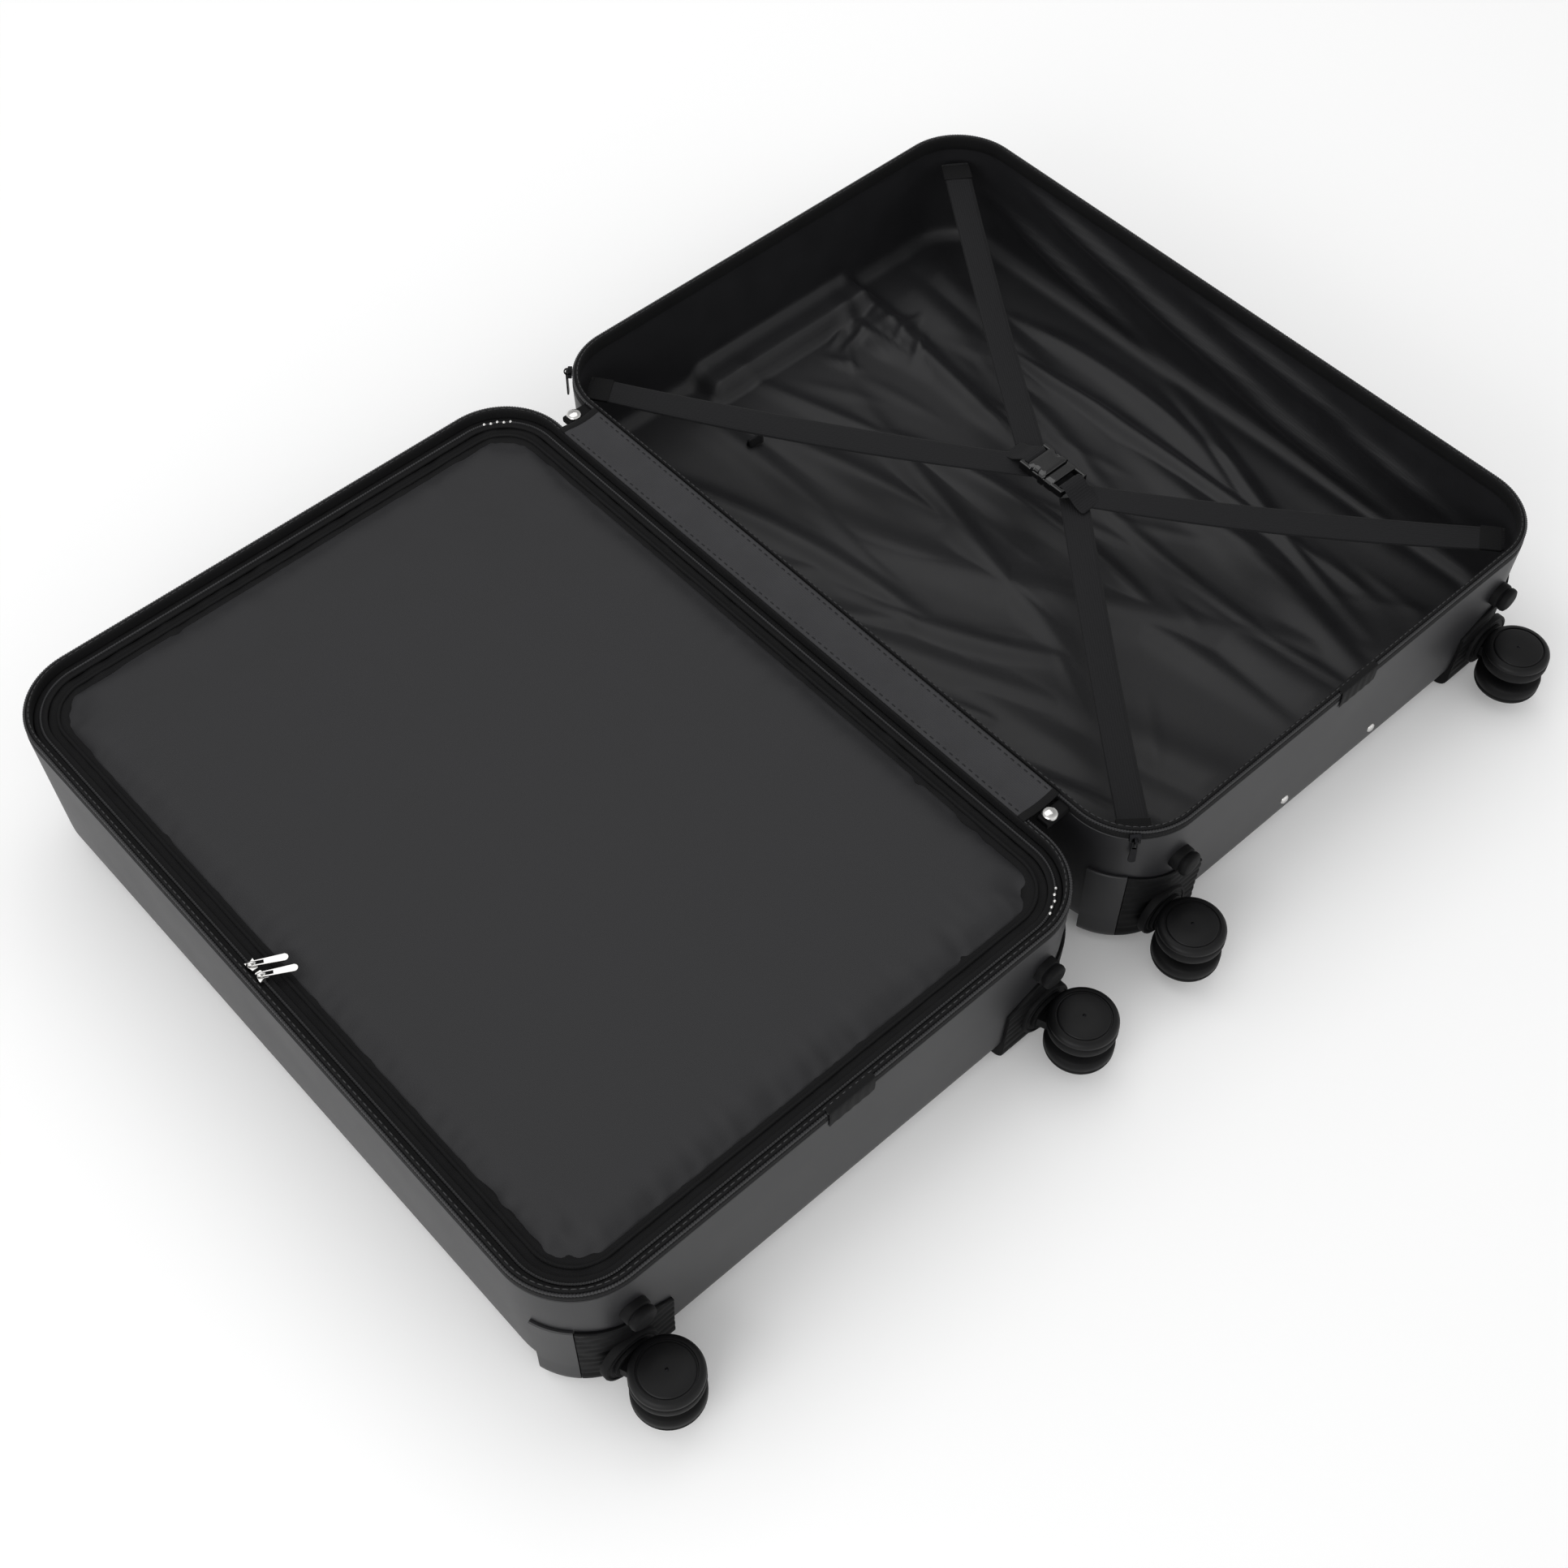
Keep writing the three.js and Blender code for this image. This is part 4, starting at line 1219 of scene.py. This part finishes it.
    def plug(self):
        """The pronged half: base bar, strap slot, two side arms that fill the windows, and a tongue."""
        h = self.half
        shape = [
            (-h, -1), (1.5 - h, 0), (h - 1.5, 0), (h, -1),
            (h, -8.6), (h - 1.6, -10), (1.6 - h, -10), (-h, -8.6),
        ]
        made = self.moulded("buckle_plug_moulded", self.crowned(shape, -5, 5.2), "buckle_plug", 0.5)
        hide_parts("buckle_plug")
        spans = [
            (-h, 4 - h, -21, -8, -4, 4),
            (h - 4, h, -21, -8, -4, 4),
            (1 - h, h - 1, -21, -17.6, -3.2, 3.2),
            (0.4 - h, 2.6 - h, -2, 14.5, -3, 3),
            (h - 2.6, h - 0.4, -2, 14.5, -3, 3),
            (-2.4, 2.4, -3, 18, -1.6, 1.6),
        ]
        self.bars("buckle_plug_frame", spans, "buckle_plug")


# ---- handles and lock ----
class SUITCASE_OT_handles(bpy.types.Operator):
    """Finishes the telescopic handle, the carry handles and the lock, and adds the tube rivets."""

    bl_idname = "suitcase.handles"
    bl_label = "Handles and lock"

    def execute(self, context):
        for number in (1, 2):
            dress(f"trolley_outer_tube_{number}", "aluminium", 0.8 * MM)
            dress(f"trolley_inner_tube_{number}", "aluminium", 0.8 * MM)
        dress("trolley_grip", "fitting", 3 * MM, 4)
        dress("trolley_button", "gloss", 1 * MM, 3)
        dress("trolley_cup", "fitting", 0.5 * MM, 2)
        for name in ("top_handle", "side_handle"):
            dress(name, "fitting", 1.8 * MM, 4)
            dress(f"{name}_mount", "fitting", 1.2 * MM, 3)
            self.grip_ribs(name)
        dress("lock_body", "fitting", 1.2 * MM, 3)
        dress("lock_button", "gloss", 0.8 * MM, 3)
        for number in (1, 2, 3):
            self.dial(f"lock_dial_{number}")
        self.rivets()
        return {"FINISHED"}

    def grip_ribs(self, name):
        """Shallow finger ribs across the middle of a carry handle."""
        low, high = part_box(name)
        size = high - low
        lengthwise = 0 if size.x > size.y else 1
        outward = 1 - lengthwise
        middle = (low + high) / 2
        blocks = []
        for step in range(-6, 7):
            at = middle[lengthwise] + step * 7 * MM
            bottom, top = [0.0] * 3, [0.0] * 3
            bottom[lengthwise], top[lengthwise] = at - 1.1 * MM, at + 1.1 * MM
            bottom[outward], top[outward] = high[outward] - 1 * MM, high[outward] + 0.5 * MM
            bottom[2], top[2] = middle.z - 8 * MM, middle.z + 8 * MM
            blocks.append(box_points(bottom, top))
        points, faces = merged(blocks)
        made = piece(f"{name}_ribs", points, faces, "fitting", name, flat=True)
        soften(made, 0.4 * MM, 2)

    def dial(self, node):
        """A lock dial with a knurled rim."""
        low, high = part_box(node)
        middle = (low + high) / 2
        radius = (high.z - low.z) / 2
        half = (high.y - low.y) / 2
        teeth = 20
        angles = np.linspace(0, 2 * math.pi, teeth * 4, endpoint=False)
        notch = np.tile([1.0, 1.0, 0.93, 0.93], teeth)
        rows = [
            np.column_stack([
                middle.x + share * radius * notch * np.cos(angles),
                np.full(len(angles), middle.y + side * half),
                middle.z + share * radius * notch * np.sin(angles),
            ])
            for side, share in ((-1, 0.9), (-0.8, 1), (0.8, 1), (1, 0.9))
        ]
        points, faces = skin(rows, caps=True)
        made = piece(f"{node}_knurled", points, faces, "gunmetal", node, flat=True)
        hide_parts(node)

    def rivets(self):
        """The two round heads that hold the handle tubes at the wheel end."""
        profile = [(0.0005, 2.2), (1.8, 2.1), (3.4, 1.5), (4.3, 0.4), (4.4, -0.8)]
        for number in (1, 2):
            low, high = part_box(f"trolley_outer_tube_{number}")
            height = (low.z + high.z) / 2 + 17 * MM
            y = SHELL_LOW.y + inset_at(height)
            spot = Vector(((low.x + high.x) / 2, y, height))
            place = Matrix.Translation(spot) @ Matrix.Rotation(math.pi / 2, 4, "X")
            rows = lathe([(r * MM, h * MM) for r, h in profile], 32)
            points, faces = skin(rows, caps=True)
            piece(f"tube_rivet_{number}", placed(points, place), faces, "nickel", "base")


# ---- casters ----
class SUITCASE_OT_casters(bpy.types.Operator):
    """Builds the corner guards, black caster plates partly dark with painted shade, knobs and twin wheels,
    and finishes the forks.
    """

    bl_idname = "suitcase.casters"
    bl_label = "Casters"

    def execute(self, context):
        for number in (1, 2, 3, 4):
            half = "front" if number < 3 else "back"
            end = -1 if number % 2 else 1
            self.corner(number, half, end)
            self.swivel(number, half, end)
            dress(f"caster_{number}_fork", "fitting", 0.8 * MM)
            dress(f"caster_{number}_axle", "steel")
            for side in ("upper", "lower"):
                self.wheel(number, side)
        return {"FINISHED"}

    def block(self, name, half, end, path, top, grooves, material):
        """A thick skin over the shell's wheel-side corner, from its foot to a top that may slope."""
        centre = np.array(CENTRES[half][:2])
        low, foot, grow = 1.6 * MM, 12 * MM, 3 * MM
        rows = []
        for (x, y, angle), high in zip(path, top):
            normal = np.array((end * math.cos(angle), math.sin(angle)))
            base = centre + np.array((end * x, y))
            section = []
            for turn in np.linspace(0, math.pi / 2, 7):
                inset = wall_taper(0) - grow + foot * (1 - math.sin(turn))
                section.append((inset, low + foot * (1 - math.cos(turn))))
            for height in np.linspace(low + foot + 3 * MM, high - 1 * MM, 30):
                groove = 0.9 * MM * max(0.0, math.sin(height / (8.5 * MM) * 2 * math.pi)) ** 4 * grooves
                section.append((wall_taper(height) - grow + groove, height))
            section.append((wall_taper(high) - grow + 1 * MM, high))
            for height in np.linspace(high, low, 12):
                section.append((inset_at(height) - 0.3 * MM, height))
            rows.append(np.array([
                (*(base + (CORNER - inset) * normal), height) for inset, height in section
            ]))
        points, faces = skin(rows, caps=True)
        body = BODIES[half]
        made = piece(name, points, faces, material, body)
        made.data.set_sharp_from_angle(angle=45 * DEGREE)
        return made

    def corner(self, number, half, end):
        """The shell-coloured guard round the corner, and the black plate beside it, whose black is also
        painted shade of the pocket where the fork mounts.
        """
        x, y = WIDTH / 2 - CORNER, -(LENGTH / 2 - CORNER)
        turn = -math.acos(1 - 19 * MM / CORNER)
        start = -math.asin(1 - 44 * MM / CORNER)
        guard = [(x, y, angle) for angle in np.linspace(start, turn, 14)]
        tall = [94 * MM] * 14
        made = self.block(f"caster_{number}_guard", half, end, guard, tall, 0, "shell")
        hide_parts(f"caster_{number}_housing")
        plate = [(x, y, angle) for angle in np.linspace(turn - 0.012, -math.pi / 2, 14)]
        plate += [(x - step, y, -math.pi / 2) for step in np.linspace(0, 30 * MM, 8)[1:]]
        slope = np.concatenate([np.linspace(93, 82, 14), np.linspace(82, 66, 8)[1:]]) * MM
        # The plate's black is partly the nylon's own colour and partly painted shade of the shadowed pocket
        # where the fork mounts.
        self.block(f"caster_{number}_plate", half, end, plate, slope, 1, "fitting")

    def turned(self, name, profile, middle, body):
        """A round part about a line along Y, from (radius, reach) pairs in millimetres."""
        rows = lathe([(r * MM, h * MM) for r, h in profile], 40)
        place = Matrix.Translation(middle) @ Matrix.Rotation(math.pi / 2, 4, "X")
        points, faces = skin(rows, caps=True)
        made = piece(name, placed(points, place), faces, "fitting", body)
        made.data.set_sharp_from_angle(angle=45 * DEGREE)

    def swivel(self, number, half, end):
        """The round swivel plate with its raised rings, and the knob above it."""
        pivot = Vector(JOINTS[f"caster_{number}_swivel"]["pos_m"])
        rim = SHELL_LOW.y
        plate = [
            (24, -4), (24, 1), (23.4, 2.2), (21.6, 2.4), (21, 1.7),
            (19.8, 1.7), (19.2, 2.3), (6, 2.3), (0.3, 2.2),
        ]
        self.turned(
            f"caster_{number}_swivel_plate", plate, Vector((pivot.x, rim, pivot.z)), BODIES[half],
        )
        knob = [
            (11, -4), (11, 4), (10.4, 5), (9.4, 5.4), (9.4, 6.4), (10.6, 7), (10.8, 9), (10.2, 11),
            (8.4, 12), (4, 12.2), (0.3, 12.2),
        ]
        middle = Vector((pivot.x - end * 8 * MM, rim, 102 * MM))
        self.turned(f"caster_{number}_knob", knob, middle, BODIES[half])

    def profile(self, radius, width):
        """Half section of a wheel from the cap's middle over the tyre to the bore, in metres."""
        shape = [
            (0.0, width - 0.4), (0.30, width - 0.2), (0.70, width - 0.6), (0.74, width - 1.0),
            (0.755, width - 2.1), (0.785, width - 2.1), (0.80, width - 1.0), (0.87, width - 1.3),
            (0.93, width - 2.2), (0.975, width - 3.6), (0.995, width - 5.6), (0.98, width - 6.4),
            (0.955, width - 6.8), (0.965, width - 7.4), (1.0, width - 8.4), (1.0, 4.5), (0.975, 1.6),
            (0.92, 0.2), (0.5, 0.0),
        ]
        return [(max(share * radius, 0.3 * MM), height * MM) for share, height in shape]

    def wheel(self, number, side):
        """One wheel of a pair: a tyre, its cap and the stud in the cap's middle."""
        node = f"caster_{number}_wheel_{side}"
        low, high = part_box(node)
        middle = (low + high) / 2
        radius = (high.x - low.x) / 2
        width = (high.z - low.z) / MM
        segments = bpy.context.scene.suitcase_sizes.wheel_segments
        flip = 1 if side == "upper" else -1
        start = low.z if flip > 0 else high.z
        rows = lathe(self.profile(radius, width), segments)
        points, faces = skin(rows, caps=True)
        points = points * np.array((1, flip, flip)) + np.array((middle.x, middle.y, start))
        made = piece(f"{node}_turned", points, faces, "tyre", node)
        made.data.materials.append(finish("cap"))
        for face in made.data.polygons:
            cap = abs(face.center.z - start) > (width - 6) * MM
            face.material_index = 1 if cap else 0
        made.data.set_sharp_from_angle(angle=50 * DEGREE)
        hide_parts(node)
        stud = [(0.2, 0.5), (1.1, 0.35), (1.5, -0.2), (1.5, -1)]
        points, faces = skin(lathe([(r * MM, h * MM) for r, h in stud], 20), caps=True)
        top = start + flip * (width - 0.3) * MM
        points = points * np.array((1, flip, flip)) + np.array((middle.x, middle.y, top))
        piece(f"{node}_stud", points, faces, "gunmetal", node)


# ---- studio ----
# The camera looks at a point beside the middle of the case, and is turned a little about its view.
AIM_OFFSET = Vector((-0.10194, -0.0616, 0))
CAMERA_ROLL = 0.41 * DEGREE
LAMP_AIM = Vector((0, 0, 0.05))
# The direction in which the room is darkest.
DARK_SIDE = Vector((0.40, 0.44, 0.80))


class SUITCASE_OT_stage(bpy.types.Operator):
    """Lays the pale floor and sets the soft lights and the camera."""

    bl_idname = "suitcase.stage"
    bl_label = "Stage"

    def execute(self, context):
        scene = context.scene
        scene.view_settings.view_transform = "Standard"
        studio = scene.suitcase_studio
        points, faces = box_points((-9, -9, -0.02), (9, 9, -0.0005))
        floor = piece("floor", points, faces, "paper", None, flat=True)
        self.world(scene)
        self.lamp("key", (0.2, 0.9, 2.6), (3.0, 2.2), studio.key_power)
        self.lamp("left_fill", (-2.6, -0.8, 1.5), (2.0, 1.4), studio.key_power * 0.85)
        self.lamp("front_fill", (1.0, -2.8, 1.2), (2.4, 1.2), studio.key_power * 0.1)
        self.camera(scene, studio)
        return {"FINISHED"}

    def world(self, scene):
        """A pale room that is darker up behind the case, where the flat tops would mirror it."""
        world = bpy.data.worlds.new("studio")
        world.use_nodes = True
        background = world.node_tree.nodes["Background"]
        background.inputs["Color"].default_value = (1, 1, 1, 1)
        direction = add_node(world, "ShaderNodeTexCoord")
        toward = add_node(
            world, "ShaderNodeVectorMath", {"operation": "DOT_PRODUCT"}, [(0, direction, "Generated")],
        )
        toward.inputs[1].default_value = DARK_SIDE
        shade = add_node(
            world, "ShaderNodeMapRange",
            {"From Min": 0.1, "From Max": 0.95, "To Min": 0.95, "To Max": 0.4},
            [("Value", toward, "Value")],
        )
        world.node_tree.links.new(shade.outputs["Result"], background.inputs["Strength"])
        scene.world = world

    def lamp(self, name, place, size, power):
        """A soft rectangular light that faces the case."""
        data = bpy.data.lights.new(name, "AREA")
        data.shape = "RECTANGLE"
        data.size, data.size_y = size
        data.energy = power
        lamp = bpy.data.objects.new(name, data)
        lamp.location = place
        lamp.rotation_mode = "QUATERNION"
        lamp.rotation_quaternion = (LAMP_AIM - Vector(place)).to_track_quat("-Z", "Y")
        bpy.context.scene.collection.objects.link(lamp)

    def camera(self, scene, studio):
        """The camera, high over the wheel end and turned to the front half's side."""
        data = bpy.data.cameras.new("camera")
        data.sensor_width = 36
        data.lens = studio.lens
        camera = bpy.data.objects.new("camera", data)
        low, high = Vector(CAD_BOX[0]), Vector(CAD_BOX[1])
        aim = (low + high) / 2 + AIM_OFFSET
        flat = math.cos(studio.elevation)
        back = Vector((
            math.sin(studio.azimuth) * flat, -math.cos(studio.azimuth) * flat, math.sin(studio.elevation),
        ))
        camera.location = aim + back * studio.distance
        camera.rotation_mode = "QUATERNION"
        level = (-back).to_track_quat("-Z", "Y")
        roll = Matrix.Rotation(CAMERA_ROLL, 3, "Z").to_quaternion()
        camera.rotation_quaternion = level @ roll
        scene.collection.objects.link(camera)
        scene.camera = camera


OPERATORS = (
    SUITCASE_OT_stage, SUITCASE_OT_shells, SUITCASE_OT_linings, SUITCASE_OT_zips, SUITCASE_OT_divider,
    SUITCASE_OT_hinge, SUITCASE_OT_sliders, SUITCASE_OT_straps, SUITCASE_OT_handles, SUITCASE_OT_casters,
)


class SUITCASE_PT_panel(bpy.types.Panel):
    """Lists the suitcase's sizes, colours and building steps."""

    bl_idname = "SUITCASE_PT_panel"
    bl_label = "Open hard shell suitcase"
    bl_space_type = "VIEW_3D"
    bl_region_type = "UI"
    bl_category = "Suitcase"

    def draw(self, context):
        scene = context.scene
        for group in (scene.suitcase_sizes, scene.suitcase_colours, scene.suitcase_studio):
            column = self.layout.column()
            for key in group.__annotations__:
                column.prop(group, key)
        for operator in OPERATORS:
            self.layout.operator(operator.bl_idname)


GROUPS = {
    "suitcase_sizes": SuitcaseSizes,
    "suitcase_colours": SuitcaseColours,
    "suitcase_studio": SuitcaseStudio,
}


def register():
    """Registers the groups, operators and panel."""
    for group in GROUPS.values():
        bpy.utils.register_class(group)
    for name, group in GROUPS.items():
        setattr(bpy.types.Scene, name, PointerProperty(type=group))
    for item in (*OPERATORS, SUITCASE_PT_panel):
        bpy.utils.register_class(item)


def unregister():
    """Undoes register."""
    for item in (SUITCASE_PT_panel, *reversed(OPERATORS)):
        bpy.utils.unregister_class(item)
    for name, group in GROUPS.items():
        delattr(bpy.types.Scene, name)
        bpy.utils.unregister_class(group)


def main():
    """Builds everything in order."""
    register()
    for operator in OPERATORS:
        group, name = operator.bl_idname.split(".")
        getattr(getattr(bpy.ops, group), name)()


if __name__ == "__main__":
    main()
